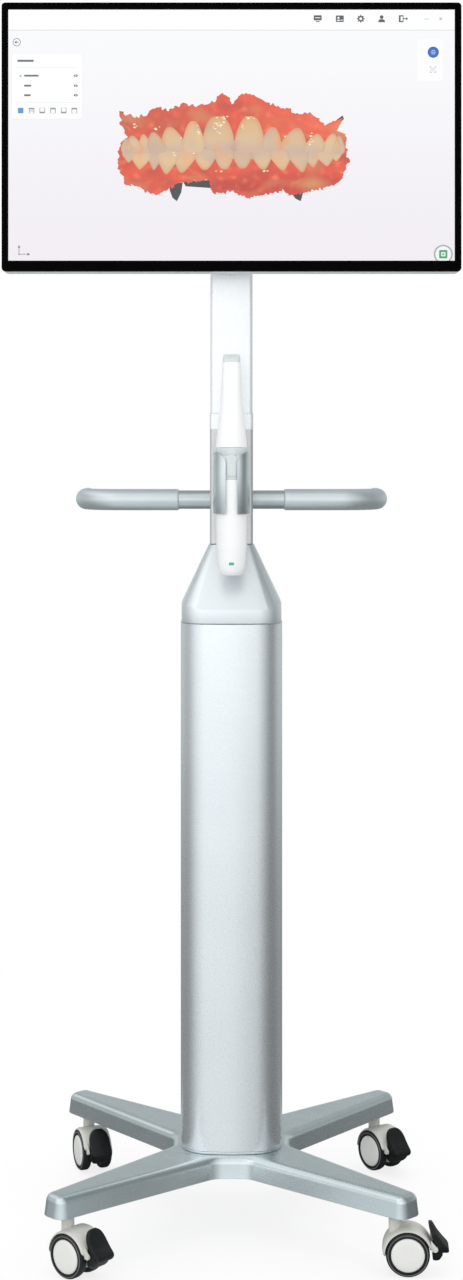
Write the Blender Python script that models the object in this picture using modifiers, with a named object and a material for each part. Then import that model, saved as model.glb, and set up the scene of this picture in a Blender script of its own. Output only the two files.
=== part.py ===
"""Intraoral scanner cart: base on four braked castors, column, post, handle, scanner in its cradle, display."""

from math import cos, degrees, pi, radians, sin, sqrt

import bmesh
import bpy
from mathutils import Matrix, Vector

MM = 0.001

# Driving dimensions, in millimetres. X is to the right, Y is to the rear, Z is up from the floor.
AXIS_Y = 8.0            # the column's axis, behind the middle of the footprint
GAP = 0.3               # between pieces that seat on each other

LEG_TIP = 211.0         # from the axis to the end of a leg, along X and along Y
HUB_FACE = 73.0         # from the axis to a flat face of the hub
HUB_FLAT = 39.0         # width of that face
LEG_END_HALF = 18.0     # half width of a leg where its end starts to round
LEG_CORNER = 13.0
BASE_Z = (67.0, 92.0)
LEG_DRAFT = 2.0
LEG_EDGE = 7.0
LEG_ROOF = 7.0          # thickness above the pockets
POCKETS = ((78.0, 148.0), (156.0, 234.0))   # from the axis, along a leg
POCKET_HALF = 33.0      # half width of a pocket at its inner end
POCKET_TAPER = 0.115    # how much narrower it gets for each millimetre outwards
POCKET_DRAFT = 2.0

STEM_AT = 185.0         # swivel axes, along X and along Y
CASTORS = {             # name: (side in X, side in Y, heading of the trailing end in degrees)
    "front_left": (-1, -1, -40.0),
    "front_right": (1, -1, -3.0),
    "rear_left": (-1, 1, -69.0),
    "rear_right": (1, 1, -55.0),
}
WHEEL_R = 25.0
WHEEL_STEPS = 24
AXLE_Z = WHEEL_R * cos(pi / WHEEL_STEPS)   # the lowest facet lies on the floor
TRAIL = 14.0            # from the swivel axis to the axle
WHEEL_FACE = 20.0       # from the middle of a castor to a wheel's outer face
AXLE_R = 3.0
AXLE_HALF = 16.5
DISC_R = 19.2
RIM_IN = 8.4            # from the middle of a castor to a wheel's inner face
STEM_R = 5.5
STEM_SEAT = 18.0        # how deep the stem stands in the leg
SPINDLE_R = 4.0
SPINDLE_LOW = 46.0
NECK_R = 7.3
NECK_TOP = 62.4
GUARD_R = (26.3, 28.4)
GUARD_WIDTH = 37.0
WEB_WIDTH = 11.0
PEDAL_PIVOT = (31.0, 6.0)   # from the axle, towards the trailing end and up
PEDAL_HALF = 12.6
EAR_R = 3.6
EAR_WIDTH = 2.8
EAR_AT = 14.7           # from the middle of a castor to the middle of an ear
TRUNNION_R = 2.0
TRUNNION_LENGTH = 3.2

COLUMN_HALF = 60.0
COLUMN_CORNER = 36.0
COLUMN_BOW = 1.5
COLUMN_WALL = 3.0
COLUMN_Z = (95.4, 721.0)
FOOT_RING_RIM = 0.8     # how far the ring stands out round the column
FOOT_RING_WIDTH = 9.8
SHROUD_Z = (721.3, 738.0, 815.0)
SHROUD_CORNER = 26.0
SHROUD_WALL = 2.8
SHROUD_LIFT = 7.0       # rise of the crease towards the corners

POST_LOWER = (52.0, 38.0, 9.0)     # width, depth, corner radius
POST_UPPER = (51.0, 36.0, 6.0)
POST_WALL = 2.5
COLLAR_Z = (953.3, 972.5)
COLLAR_RIM = 0.3
POST_TOP = 1247.0

BAR_Z = 868.0
BAR_R = 11.2
GRIP_R = 12.9
GRIP_START = 64.0
GRIP_REACH = 192.0      # outermost in X
BEND_R = 45.0
GRIP_TAIL = 30.0        # straight length behind the bend

SCANNER_Y = -66.0       # the handpiece's axis
CRADLE_R = 21.7
CRADLE_Z = (853.4, 925.7)
CRADLE_SLOT = 13.7
CRADLE_SHOULDER = 10.0
BRACKET = (18.0, 872.0, 904.0)     # width, lower edge, upper edge
FLANGE = (30.0, 862.0, 914.0)
RING_Z = (894.2, 931.6)
RING_WALL = 3.4
BODY_R = (17.9, 18.8)   # at the tail's end of the taper and at the control ring
TAPER_LOW = 815.0
TIP_TOP = 1042.0
TIP_WALL = 1.7
TIP_WINDOW = (13.0, 1012.0, 1029.0)   # width, lower edge, upper edge
MIRROR_TILT = 54.0
TAIL_Z = 780.0
SHELL_WALL = 2.2
LIGHT_Z = 794.5
BUTTON_R = 5.6
BUTTON_Z = (901.0, 917.6)   # lower edge, centre of the round end
BARREL_NOSE = 68.0      # how far the optical barrel stands into the tip

SCREEN_W, SCREEN_H = 526.7, 296.4
DISPLAY_W = 542.4
DISPLAY_Z = (1139.4, 1456.4)
DISPLAY_FRONT = -78.0
DISPLAY_DEPTH = 44.0
DISPLAY_CORNER = 4.0
FRAME_DEPTH = 9.0
GLASS_SET_BACK = 2.0    # from the frame's face to the glass
TOP_BORDER = 8.1
BACK_WALL = 2.5
VENTS = 22
VENT_PITCH = 14.0
VENT_SIZE = (4.0, 22.0)
VENT_DROP = 40.0        # from the display's top edge
SOCKET = (118.0, 146.0, 1162.0, 1184.0)   # left, right, lower and upper edge
TILT_Z = 1298.0
TILT_Y = -8.0
TILT_PIN_R = 4.0
TILT_PIN_HALF = 23.0
PLATE_HALF = 60.0
PLATE_THICK = 3.0
LUG_R = 9.0
LUG_THICK = 4.0
LUG_AT = 12.0
FORK_AT = 18.0
FORK_BASE = 5.0

PAINT = {               # name: (colour, roughness, metallic)
    "silver_paint": ((0.52, 0.58, 0.61), 0.42, 0.55),
    "column_satin": ((0.78, 0.82, 0.85), 0.36, 0.45),
    "white_plastic": ((0.93, 0.94, 0.95), 0.35, 0.0),
    "pale_plastic": ((0.66, 0.66, 0.63), 0.45, 0.0),
    "grey_plastic": ((0.60, 0.64, 0.68), 0.40, 0.1),
    "black_plastic": ((0.02, 0.02, 0.022), 0.35, 0.0),
    "tyre_black": ((0.02, 0.02, 0.022), 0.60, 0.0),
    "steel": ((0.55, 0.60, 0.62), 0.25, 0.9),
    "grip_grey": ((0.50, 0.55, 0.57), 0.45, 0.3),
    "screen_glass": ((0.01, 0.01, 0.012), 0.08, 0.0),
    "mirror_glass": ((0.80, 0.82, 0.85), 0.05, 1.0),
    "status_green": ((0.10, 0.70, 0.40), 0.30, 0.0),
}


# Scene, materials and placing

def clear_scene():
    """Removes everything that stands in the scene."""
    for obj in list(bpy.data.objects):
        bpy.data.objects.remove(obj, do_unlink=True)


def new_collection(name):
    """A new collection in the scene."""
    collection = bpy.data.collections.new(name)
    bpy.context.scene.collection.children.link(collection)
    return collection


def paint(name):
    """The material of this name, made at its first use."""
    material = bpy.data.materials.get(name)
    if material:
        return material
    colour, roughness, metallic = PAINT[name]
    material = bpy.data.materials.new(name)
    material.use_nodes = True
    shader = material.node_tree.nodes["Principled BSDF"]
    shader.inputs["Base Color"].default_value = (*colour, 1.0)
    shader.inputs["Roughness"].default_value = roughness
    shader.inputs["Metallic"].default_value = metallic
    return material


def new_empty(name, at=(0, 0, 0), turn_z=0.0, parent=None):
    """A frame that other objects hang from, turned about Z."""
    empty = bpy.data.objects.new(name, None)
    empty.empty_display_size = 0.02
    empty.location = Vector(at) * MM
    empty.rotation_euler = (0, 0, radians(turn_z))
    empty.parent = parent
    PARTS.objects.link(empty)
    return empty


def new_object(name, mesh, finish=None, at=(0, 0, 0), turn=(0, 0, 0), parent=None):
    """An object that shows this mesh. With no finish it is a cutter."""
    obj = bpy.data.objects.new(name, mesh)
    obj.location = Vector(at) * MM
    obj.rotation_euler = [radians(angle) for angle in turn]
    obj.parent = parent or CART
    if finish:
        if not mesh.materials:
            mesh.materials.append(paint(finish))
        PARTS.objects.link(obj)
    else:
        obj.hide_render = True
        obj.display_type = "WIRE"
        CUTTERS.objects.link(obj)
    return obj


def smooth(obj, angle=35.0):
    """Shades the object smooth, with edges above the angle kept sharp."""
    obj.data.shade_smooth()
    obj.data.set_sharp_from_angle(angle=radians(angle))
    return obj


def add_bevel(obj, width, segments=2, angle=40.0):
    """Rounds the edges that are sharper than the angle."""
    bevel = obj.modifiers.new("edges", "BEVEL")
    bevel.width = width * MM
    bevel.segments = segments
    bevel.limit_method = "ANGLE"
    bevel.angle_limit = radians(angle)
    return obj


def add_boolean(obj, other, operation="DIFFERENCE"):
    """Cuts the other object out of this one, or joins it on."""
    step = obj.modifiers.new(other.name, "BOOLEAN")
    step.object = other
    step.operation = operation
    return obj


def as_mesh(obj, name, weld=0.01):
    """A mesh of what the object's modifiers or curve make, in its own frame, with loose caps welded."""
    bpy.context.view_layer.update()
    graph = bpy.context.evaluated_depsgraph_get()
    mesh = bpy.data.meshes.new_from_object(obj.evaluated_get(graph))
    mesh.name = name
    form = bmesh.new()
    form.from_mesh(mesh)
    bmesh.ops.remove_doubles(form, verts=form.verts, dist=weld * MM)
    bmesh.ops.recalc_face_normals(form, faces=form.faces)
    form.to_mesh(mesh)
    form.free()
    bpy.data.objects.remove(obj, do_unlink=True)
    return mesh


# Outlines and modelling tools

def arc(centre, radius, start, end, steps):
    """Points on a circle, from one angle in degrees to another, both ends included."""
    turns = [radians(start + (end - start) * i / steps) for i in range(steps + 1)]
    return [(centre[0] + radius * cos(a), centre[1] + radius * sin(a)) for a in turns]


def rounded_rectangle(width, depth, radius, steps=4, bow=0.0):
    """Outline of a rectangle with round corners, whose sides bow out, anticlockwise from the right side."""
    points = []
    corners = ((1, 1), (-1, 1), (-1, -1), (1, -1))
    crests = ((0, depth / 2 + bow), (-width / 2 - bow, 0), (0, -depth / 2 - bow), (width / 2 + bow, 0))
    for quarter, ((side_x, side_y), crest) in enumerate(zip(corners, crests)):
        centre = (side_x * (width / 2 - radius), side_y * (depth / 2 - radius))
        points += arc(centre, radius, 90 * quarter, 90 * quarter + 90, steps)
        if bow:
            points.append(crest)
    return points


def inset(points, distance):
    """The anticlockwise outline moved inwards by a distance, mitred at its corners."""
    moved = []
    count = len(points)
    for i, here in enumerate(points):
        before = Vector(here) - Vector(points[i - 1])
        after = Vector(points[(i + 1) % count]) - Vector(here)
        before.normalize()
        after.normalize()
        inward = Vector((-before.y - after.y, before.x + after.x))
        half = inward.length_squared / 2
        moved.append(tuple(Vector(here) + inward * (distance / max(half, 0.3))))
    return moved


def flat_mesh(name, outline, thickness):
    """A mesh of a flat outline in XY, centred on Z, made from a filled 2D curve."""
    curve = bpy.data.curves.new(name, "CURVE")
    curve.dimensions = "2D"
    curve.fill_mode = "BOTH"
    curve.extrude = thickness / 2 * MM
    spline = curve.splines.new("POLY")
    spline.points.add(len(outline) - 1)
    for point, (x, y) in zip(spline.points, outline):
        point.co = (x * MM, y * MM, 0, 1)
    spline.use_cyclic_u = True
    obj = bpy.data.objects.new(name, curve)
    CUTTERS.objects.link(obj)
    return as_mesh(obj, name)


def swept_mesh(name, path, radius, sides=4):
    """A mesh of a round bar along a path."""
    curve = bpy.data.curves.new(name, "CURVE")
    curve.dimensions = "3D"
    curve.bevel_depth = radius * MM
    curve.bevel_resolution = sides
    curve.use_fill_caps = True
    spline = curve.splines.new("POLY")
    spline.points.add(len(path) - 1)
    for point, place in zip(spline.points, path):
        point.co = (*(Vector(place) * MM), 1)
    obj = bpy.data.objects.new(name, curve)
    CUTTERS.objects.link(obj)
    return as_mesh(obj, name)


def turned_mesh(name, profile, steps, phase=0.0):
    """A mesh turned about Z from a profile of (radius, height) that runs down its outer side.

    A profile that stays off the axis is closed into a ring."""
    mesh = bpy.data.meshes.new(name)
    start = Matrix.Rotation(phase, 3, "Z")
    points = [start @ Vector((r * MM, 0, z * MM)) for r, z in profile]
    edges = [(i, i + 1) for i in range(len(points) - 1)]
    if profile[0][0] > 0:
        edges.append((len(points) - 1, 0))
    mesh.from_pydata(points, edges, [])
    obj = bpy.data.objects.new(name, mesh)
    CUTTERS.objects.link(obj)
    screw = obj.modifiers.new("turn", "SCREW")
    screw.axis = "Z"
    screw.steps = steps
    screw.render_steps = steps
    screw.use_merge_vertices = True
    screw.merge_threshold = 0.00001
    return as_mesh(obj, name)


def box_mesh(name, low, high, bevel=0.0, segments=2):
    """A mesh of a box between two corners, with round edges."""
    form = bmesh.new()
    size = Vector(high) - Vector(low)
    middle = (Vector(high) + Vector(low)) / 2 * MM
    bmesh.ops.create_cube(form, size=1.0)
    bmesh.ops.transform(form, matrix=Matrix.Diagonal((*(size * MM), 1.0)), verts=form.verts)
    bmesh.ops.translate(form, vec=middle, verts=form.verts)
    if bevel:
        bmesh.ops.bevel(form, geom=form.edges[:], offset=bevel * MM, segments=segments,
                        profile=0.5, affect="EDGES")
    mesh = bpy.data.meshes.new(name)
    form.to_mesh(mesh)
    form.free()
    return mesh


def rod_mesh(name, radius, start, end, steps=20):
    """A mesh of a round rod between two points."""
    form = bmesh.new()
    axis = Vector(end) - Vector(start)
    bmesh.ops.create_cone(form, cap_ends=True, segments=steps, radius1=radius * MM,
                          radius2=radius * MM, depth=axis.length * MM)
    turn = axis.to_track_quat("Z", "Y").to_matrix().to_4x4()
    place = Matrix.Translation((Vector(start) + axis / 2) * MM) @ turn
    bmesh.ops.transform(form, matrix=place, verts=form.verts)
    mesh = bpy.data.meshes.new(name)
    form.to_mesh(mesh)
    form.free()
    return mesh


def loft_mesh(name, rings):
    """A closed mesh through rings of equally many points, each a list of (x, y, z), from the lowest up."""
    form = bmesh.new()
    rows = [[form.verts.new(Vector(point) * MM) for point in ring] for ring in rings]
    count = len(rows[0])
    for lower, upper in zip(rows, rows[1:]):
        for i in range(count):
            k = (i + 1) % count
            form.faces.new((lower[i], lower[k], upper[k], upper[i]))
    form.faces.new(list(reversed(rows[0])))
    form.faces.new(rows[-1])
    bmesh.ops.recalc_face_normals(form, faces=form.faces)
    mesh = bpy.data.meshes.new(name)
    form.to_mesh(mesh)
    form.free()
    return mesh


def at_height(outline, z):
    """A plan outline as a ring at one height."""
    return [(x, y, z) for x, y in outline]


# Base

def base_outline():
    """Plan of the X base: four tapered legs with round ends, and flat hub faces between them."""
    hub_in = HUB_FLAT / 2
    hub_r = (hub_in + HUB_FACE) / sqrt(2)
    hub_half = (HUB_FACE - hub_in) / sqrt(2)
    corner = LEG_CORNER
    end_r = (LEG_TIP - corner) * sqrt(2) - (LEG_END_HALF - corner) + corner
    points = []
    for leg in range(4):
        turn = Matrix.Rotation(radians(45 + 90 * leg), 2)
        taper = (hub_half - LEG_END_HALF) / (end_r - corner - hub_r)
        tilt = degrees(sin(taper))
        local = [(hub_r, -hub_half)]
        local += arc((end_r - corner, -LEG_END_HALF + corner), corner, -90 + tilt, 0, 4)
        local += arc((end_r - corner, LEG_END_HALF - corner), corner, 0, 90 - tilt, 4)
        local.append((hub_r, hub_half))
        points += [tuple(turn @ Vector(point)) for point in local]
    return points


def pocket_mesh(leg):
    """Two tapered pockets under one leg, with a rib left between them."""
    turn = Matrix.Rotation(radians(45 + 90 * leg), 3, "Z")
    form = bmesh.new()
    for near, far in POCKETS:
        half = [POCKET_HALF - (r - POCKETS[0][0]) * POCKET_TAPER for r in (near, far)]
        mouth = [(near, -half[0]), (far, -half[1]), (far, half[1]), (near, half[0])]
        rings = [at_height(mouth, BASE_Z[0] - 5), at_height(inset(mouth, POCKET_DRAFT), BASE_Z[1] - LEG_ROOF)]
        block = loft_mesh("pocket", [[tuple(turn @ Vector(p)) for p in ring] for ring in rings])
        form.from_mesh(block)
        bpy.data.meshes.remove(block)
    mesh = bpy.data.meshes.new("pockets")
    form.to_mesh(mesh)
    form.free()
    return mesh


def make_base():
    """Cast base: drafted legs with round upper edges, pockets underneath and a bore for each stem."""
    outline = base_outline()
    low, high = BASE_Z
    rings = [at_height(outline, low)]
    for share in (0.0, 0.35, 0.75, 1.0):
        angle = share * pi / 2
        inwards = LEG_DRAFT + LEG_EDGE * (1 - cos(angle))
        rings.append(at_height(inset(outline, inwards), high - LEG_EDGE * (1 - sin(angle))))
    base = new_object("base", loft_mesh("base", rings), "silver_paint")
    for leg in range(4):
        add_boolean(base, new_object(f"leg_pockets_{leg}", pocket_mesh(leg)))
    for name, (side_x, side_y, _) in CASTORS.items():
        at = (side_x * STEM_AT, side_y * STEM_AT, 0)
        bore = rod_mesh("stem_bore", STEM_R + GAP, (0, 0, low - 5), (0, 0, low + STEM_SEAT + 1))
        add_boolean(base, new_object(f"stem_bore_{name}", bore, at=at))
    smooth(base)


# Castors

def stem_mesh():
    """Stem with its upper end in the leg, a collar under it and the spindle that the castor turns on."""
    low = BASE_Z[0]
    top, collar_r = low + STEM_SEAT, STEM_R + 1.2
    profile = [(0, top), (STEM_R - 0.8, top), (STEM_R, top - 1.5), (STEM_R, low - GAP), (collar_r, low - GAP),
               (collar_r, low - 4), (SPINDLE_R, low - 4), (SPINDLE_R, SPINDLE_LOW), (0, SPINDLE_LOW)]
    return turned_mesh("castor_stem", profile, 12)


def guard_outline(inner, outer, start, end, steps):
    """Side view of the mudguard: a band about the axle."""
    return arc((0, 0), outer, start, end, steps) + arc((0, 0), inner, end, start, steps)


def hood_mesh():
    """Mudguard over both wheels, the web and neck between them, and the two ears that carry the pedal."""
    upright = (90, 0, 0)
    centre = (TRAIL, 0, AXLE_Z)
    guard = flat_mesh("hood", guard_outline(*GUARD_R, 10, 186, 12), GUARD_WIDTH)
    hood = new_object("hood", guard, at=centre, turn=upright)
    add_bevel(hood, 1.0, 1, 60)
    web = flat_mesh("web", arc((0, 0), sum(GUARD_R) / 2, 12, 188, 8) + arc((0, 0), 8.0, 215, 325, 4), WEB_WIDTH)
    add_boolean(hood, new_object("hood_web", web, at=centre, turn=upright), "UNION")
    neck = turned_mesh("neck", [(0, NECK_TOP), (NECK_R - 0.8, NECK_TOP), (NECK_R, NECK_TOP - 0.8), (NECK_R, 40),
                                (0, 40)], 12)
    add_boolean(hood, new_object("hood_neck", neck), "UNION")
    pivot_x, pivot_z = PEDAL_PIVOT
    ear = arc((pivot_x, pivot_z), EAR_R, -125, 70, 6) + [(26.2, 15.5), (27.0, 2.4)]
    for side in (-1, 1):
        mesh = flat_mesh("ear", ear, EAR_WIDTH)
        at = (TRAIL, side * EAR_AT, AXLE_Z)
        add_boolean(hood, new_object(f"hood_ear_{side + 1}", mesh, at=at, turn=upright), "UNION")
    axle = rod_mesh("axle_bore", AXLE_R + GAP, (0, -30, 0), (0, 30, 0), 12)
    add_boolean(hood, new_object("hood_axle_bore", axle, at=centre))
    socket = rod_mesh("socket", SPINDLE_R + GAP, (0, 0, SPINDLE_LOW - 2), (0, 0, 70), 12)
    add_boolean(hood, new_object("hood_socket", socket))
    pivots = rod_mesh("pivots", TRUNNION_R + GAP, (pivot_x, -30, pivot_z), (pivot_x, 30, pivot_z), 10)
    add_boolean(hood, new_object("hood_pivots", pivots, at=centre))
    mesh = as_mesh(hood, "castor_hood")
    mesh.transform(Matrix.Translation(Vector(centre) * MM) @ Matrix.Rotation(radians(90), 4, "X"))
    return mesh


def pedal_mesh():
    """Rocker with a toe above, a foot plate outside and a brake lobe below, on moulded trunnions."""
    pivot_x, pivot_z = PEDAL_PIVOT
    outside = [(25.6, 36.8), (27.6, 34.5), (29.8, 28.0), (34.8, 18.0), (40.6, 10.6), (46.0, 5.4), (47.4, 2.6),
               (46.4, 0.6), (42.5, 0.2), (39.4, 0.8), (37.0, -3.6), (34.0, -8.2), (30.6, -8.8), (28.0, -5.6)]
    inside = [(28.0, 1.0), (29.4, 8.0), (29.2, 14.6), (26.6, 22.6), (23.8, 29.4), (22.8, 34.4), (23.6, 36.8)]
    plate = flat_mesh("pedal", outside + inside, 2 * PEDAL_HALF)
    pedal = new_object("pedal", plate, turn=(90, 0, 0))
    add_bevel(pedal, 1.6, 1, 50)
    for side in (-1, 1):
        start = (pivot_x, side * (PEDAL_HALF - 4), pivot_z)
        end = (pivot_x, side * (PEDAL_HALF + TRUNNION_LENGTH), pivot_z)
        trunnion = rod_mesh("trunnion", TRUNNION_R, start, end, 10)
        add_boolean(pedal, new_object(f"trunnion_{side + 1}", trunnion), "UNION")
    mesh = as_mesh(pedal, "brake_pedal")
    mesh.transform(Matrix.Rotation(radians(90), 4, "X"))
    mesh.transform(Matrix.Translation(-Vector((pivot_x, 0, pivot_z)) * MM))
    return mesh


def core_mesh():
    """Pale disc with a domed face and a blind hub, turned about Z with its face up."""
    face, bore, bore_end = WHEEL_FACE, AXLE_R + GAP, AXLE_HALF + 0.5
    hub_r, hub_in = 6.2, RIM_IN - 2.0
    profile = [(0, face + 0.4), (15.5, face - 0.2), (DISC_R - 0.6, face - 1.2), (DISC_R, face - 2.4),
               (DISC_R, RIM_IN), (hub_r, RIM_IN), (hub_r, hub_in), (bore, hub_in), (bore, bore_end),
               (0, bore_end)]
    return turned_mesh("wheel_core", profile, WHEEL_STEPS)


def tyre_mesh():
    """Tread ring with round shoulders, turned about Z."""
    inner, low = DISC_R + GAP, RIM_IN - 0.6
    profile = [(inner, WHEEL_FACE - 0.8), (WHEEL_R - 3.4, WHEEL_FACE - 0.8), (WHEEL_R - 1.0, WHEEL_FACE - 2.0),
               (WHEEL_R, WHEEL_FACE - 4.4), (WHEEL_R, low + 2.8), (WHEEL_R - 1.8, low), (inner, low)]
    return turned_mesh("wheel_tyre", profile, WHEEL_STEPS, pi / WHEEL_STEPS)


def make_castors():
    """Four castors that share their meshes, each turned to its own heading."""
    axle = rod_mesh("castor_axle", AXLE_R, (0, -AXLE_HALF, 0), (0, AXLE_HALF, 0), 12)
    meshes = {"stem": stem_mesh(), "hood": hood_mesh(), "pedal": pedal_mesh(), "core": core_mesh(),
              "tyre": tyre_mesh(), "axle": axle}
    for name, (side_x, side_y, heading) in CASTORS.items():
        at = (side_x * STEM_AT, side_y * STEM_AT, 0)
        swivel = new_empty(f"{name}_swivel", at, heading, CART)
        hub = (TRAIL, 0, AXLE_Z)
        pivot = (TRAIL + PEDAL_PIVOT[0], 0, AXLE_Z + PEDAL_PIVOT[1])
        smooth(new_object(f"{name}_stem", meshes["stem"], "steel", at=at))
        smooth(new_object(f"{name}_hood", meshes["hood"], "pale_plastic", parent=swivel))
        smooth(new_object(f"{name}_axle", meshes["axle"], "steel", at=hub, parent=swivel))
        smooth(new_object(f"{name}_pedal", meshes["pedal"], "black_plastic", at=pivot, parent=swivel))
        for side, lean in (("left", 90), ("right", -90)):
            turn = (lean, 0, 0)
            smooth(new_object(f"{name}_wheel_{side}", meshes["core"], "white_plastic", hub, turn, swivel))
            smooth(new_object(f"{name}_tyre_{side}", meshes["tyre"], "tyre_black", hub, turn, swivel))


# Column and post

def column_outline(half, radius):
    """Plan of the column: wide round corners and sides that bow out a little."""
    return rounded_rectangle(2 * half, 2 * half, radius, 5, COLUMN_BOW)


def make_column():
    """Column tube, and the trim ring under it."""
    outer = column_outline(COLUMN_HALF, COLUMN_CORNER)
    inner = inset(outer, COLUMN_WALL)
    low, high = COLUMN_Z
    middle = (0, 0, (low + high) / 2)
    column = new_object("column", flat_mesh("column", outer, high - low), "column_satin", middle)
    core = flat_mesh("column_hollow", inner, high - low + 20)
    add_boolean(column, new_object("column_hollow", core, at=middle))
    smooth(column)
    ring_z = (BASE_Z[1] + GAP, low - GAP)
    ring_mesh = flat_mesh("foot_ring", inset(outer, -FOOT_RING_RIM), ring_z[1] - ring_z[0])
    ring = new_object("foot_ring", ring_mesh, "silver_paint", (0, 0, sum(ring_z) / 2))
    hole = flat_mesh("hole", inset(outer, FOOT_RING_WIDTH - FOOT_RING_RIM), 20)
    add_boolean(ring, new_object("foot_ring_hole", hole, at=(0, 0, 94)))
    smooth(ring)


def shroud_sections(shrink, heights):
    """Rings of the shroud, from the column's section to the post's, moved inwards by the wall."""
    low, crease, high = heights
    wide = 2 * (COLUMN_HALF - 0.2 - shrink)
    top_w, top_d, top_r = POST_LOWER
    foot = rounded_rectangle(wide, wide, SHROUD_CORNER - shrink, 4)
    top = rounded_rectangle(top_w + 1.6 - 2 * shrink, top_d + 1.6 - 2 * shrink, top_r - shrink * 0.5, 4)
    lifted = []
    for x, y in foot:
        along = abs(x) / (wide / 2)
        lifted.append((x, y, crease + SHROUD_LIFT * along ** 4))
    return [at_height(foot, low), lifted, at_height(top, high)]


def make_shroud():
    """Hollow cover that leads from the column in to the post."""
    low, crease, high = SHROUD_Z
    shroud = new_object("shroud", loft_mesh("shroud", shroud_sections(0, SHROUD_Z)), "silver_paint")
    hollow = loft_mesh("shroud_hollow", shroud_sections(SHROUD_WALL, (low - 5, crease - 1, high - 3)))
    add_boolean(shroud, new_object("shroud_hollow", hollow))
    add_bevel(shroud, 1.5, 1, 30)
    smooth(shroud, 25)


def post_tube(name, section, low, high, finish):
    """A rounded rectangular tube, open at both ends."""
    width, depth, radius = section
    outer = rounded_rectangle(width, depth, radius, 4)
    middle = (0, 0, (low + high) / 2)
    tube = new_object(name, flat_mesh(name, outer, high - low), finish, middle)
    hollow = flat_mesh(f"{name}_hollow", inset(outer, POST_WALL), high - low + 20)
    return add_boolean(tube, new_object(f"{name}_hollow", hollow, at=middle))


def make_post():
    """Two post tubes with a solid collar between them."""
    lower = post_tube("lower_post", POST_LOWER, SHROUD_Z[2] + GAP, COLLAR_Z[0] - GAP, "column_satin")
    across = rod_mesh("bar_hole", BAR_R + GAP, (-50, 0, BAR_Z), (50, 0, BAR_Z), 24)
    add_boolean(lower, new_object("bar_hole", across))
    smooth(lower)
    width, depth, radius = POST_LOWER
    outline = rounded_rectangle(width + 2 * COLLAR_RIM, depth + 2 * COLLAR_RIM, radius, 4)
    collar_mesh = flat_mesh("post_collar", outline, COLLAR_Z[1] - COLLAR_Z[0])
    collar = new_object("post_collar", collar_mesh, "white_plastic", (0, 0, sum(COLLAR_Z) / 2))
    smooth(add_bevel(collar, 0.8, 2, 60))
    smooth(post_tube("upper_post", POST_UPPER, COLLAR_Z[1] + GAP, POST_TOP, "white_plastic"))


# Handle

def handle_path(reach, tail):
    """Centre line of the bar: straight across, then bent to the rear at both ends."""
    bend_x = reach - BEND_R
    right = arc((bend_x, BEND_R), BEND_R, -90, 0, 6) + [(reach, BEND_R + tail)]
    left = [(-x, y) for x, y in reversed(right)]
    return [(x, y, BAR_Z) for x, y in left + right]


def make_handle():
    """Bent bar through the post, with a grip over each end."""
    reach = GRIP_REACH - GRIP_R
    bar_path = handle_path(reach, GRIP_TAIL - 6)
    smooth(new_object("handle_bar", swept_mesh("handle_bar", bar_path, BAR_R, 5), "steel"))
    for name, side in (("left_grip", -1), ("right_grip", 1)):
        path = [(side * GRIP_START, 0, BAR_Z)]
        path += [(side * abs(x), y, z) for x, y, z in handle_path(reach, GRIP_TAIL) if x > 0]
        grip = new_object(name, swept_mesh(name, path, GRIP_R, 5), "grip_grey")
        hollow = swept_mesh("grip_hollow", handle_path(reach, GRIP_TAIL - 5), BAR_R + GAP, 5)
        add_boolean(grip, new_object(f"{name}_hollow", hollow))
        smooth(add_bevel(grip, 2.2, 2, 60))


# Cradle and scanner

def body_radius(z):
    """Radius of the handpiece where it is round, tapering down from the control ring."""
    share = max(0.0, min(1.0, (z - TAPER_LOW) / (RING_Z[1] - TAPER_LOW)))
    return BODY_R[0] + (BODY_R[1] - BODY_R[0]) * share


def make_cradle():
    """Sleeve with a slot at the front, and the bracket that holds it to the post."""
    low, high = CRADLE_Z
    at = (0, SCANNER_Y, 0)
    sleeve = turned_mesh("cradle", [(CRADLE_R, high), (CRADLE_R, low), (body_radius(low) + 2 * GAP, low),
                                    (body_radius(high) + 2 * GAP, high)], 32)
    cradle = new_object("cradle", sleeve, "steel", at)
    half, shoulder = CRADLE_SLOT / 2, CRADLE_SHOULDER
    bend = arc((half + shoulder, high - shoulder), shoulder, 180, 90, 4)
    slot = [(half, low - 10)] + bend + [(half + shoulder, high + 10)]
    slot += [(-x, z) for x, z in reversed(slot)]
    cutter = new_object("cradle_slot", flat_mesh("slot", slot, 30), at=(0, SCANNER_Y - 20, 0), turn=(90, 0, 0))
    smooth(add_boolean(cradle, cutter))
    front = SCANNER_Y + 14
    back = -POST_LOWER[1] / 2 - GAP
    width, foot, head = BRACKET
    block = box_mesh("cradle_bracket", (-width / 2, front, foot), (width / 2, back - 2, head))
    bracket = new_object("cradle_bracket", block, "grey_plastic")
    width, foot, head = FLANGE
    flange = box_mesh("flange", (-width / 2, back - 4, foot), (width / 2, back, head), 1.0, 1)
    add_boolean(bracket, new_object("bracket_flange", flange), "UNION")
    round_cut = rod_mesh("round_cut", CRADLE_R + GAP, (0, SCANNER_Y, 850), (0, SCANNER_Y, 930), 32)
    add_boolean(bracket, new_object("bracket_cut", round_cut))


def tip_section(z, width, depth, shift, radius):
    """One ring of the tip: a rounded rectangle about the handpiece's axis, moved to the rear by shift."""
    outline = rounded_rectangle(width, depth, radius, 4)
    return [(x, y + shift, z) for x, y in outline]


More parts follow.
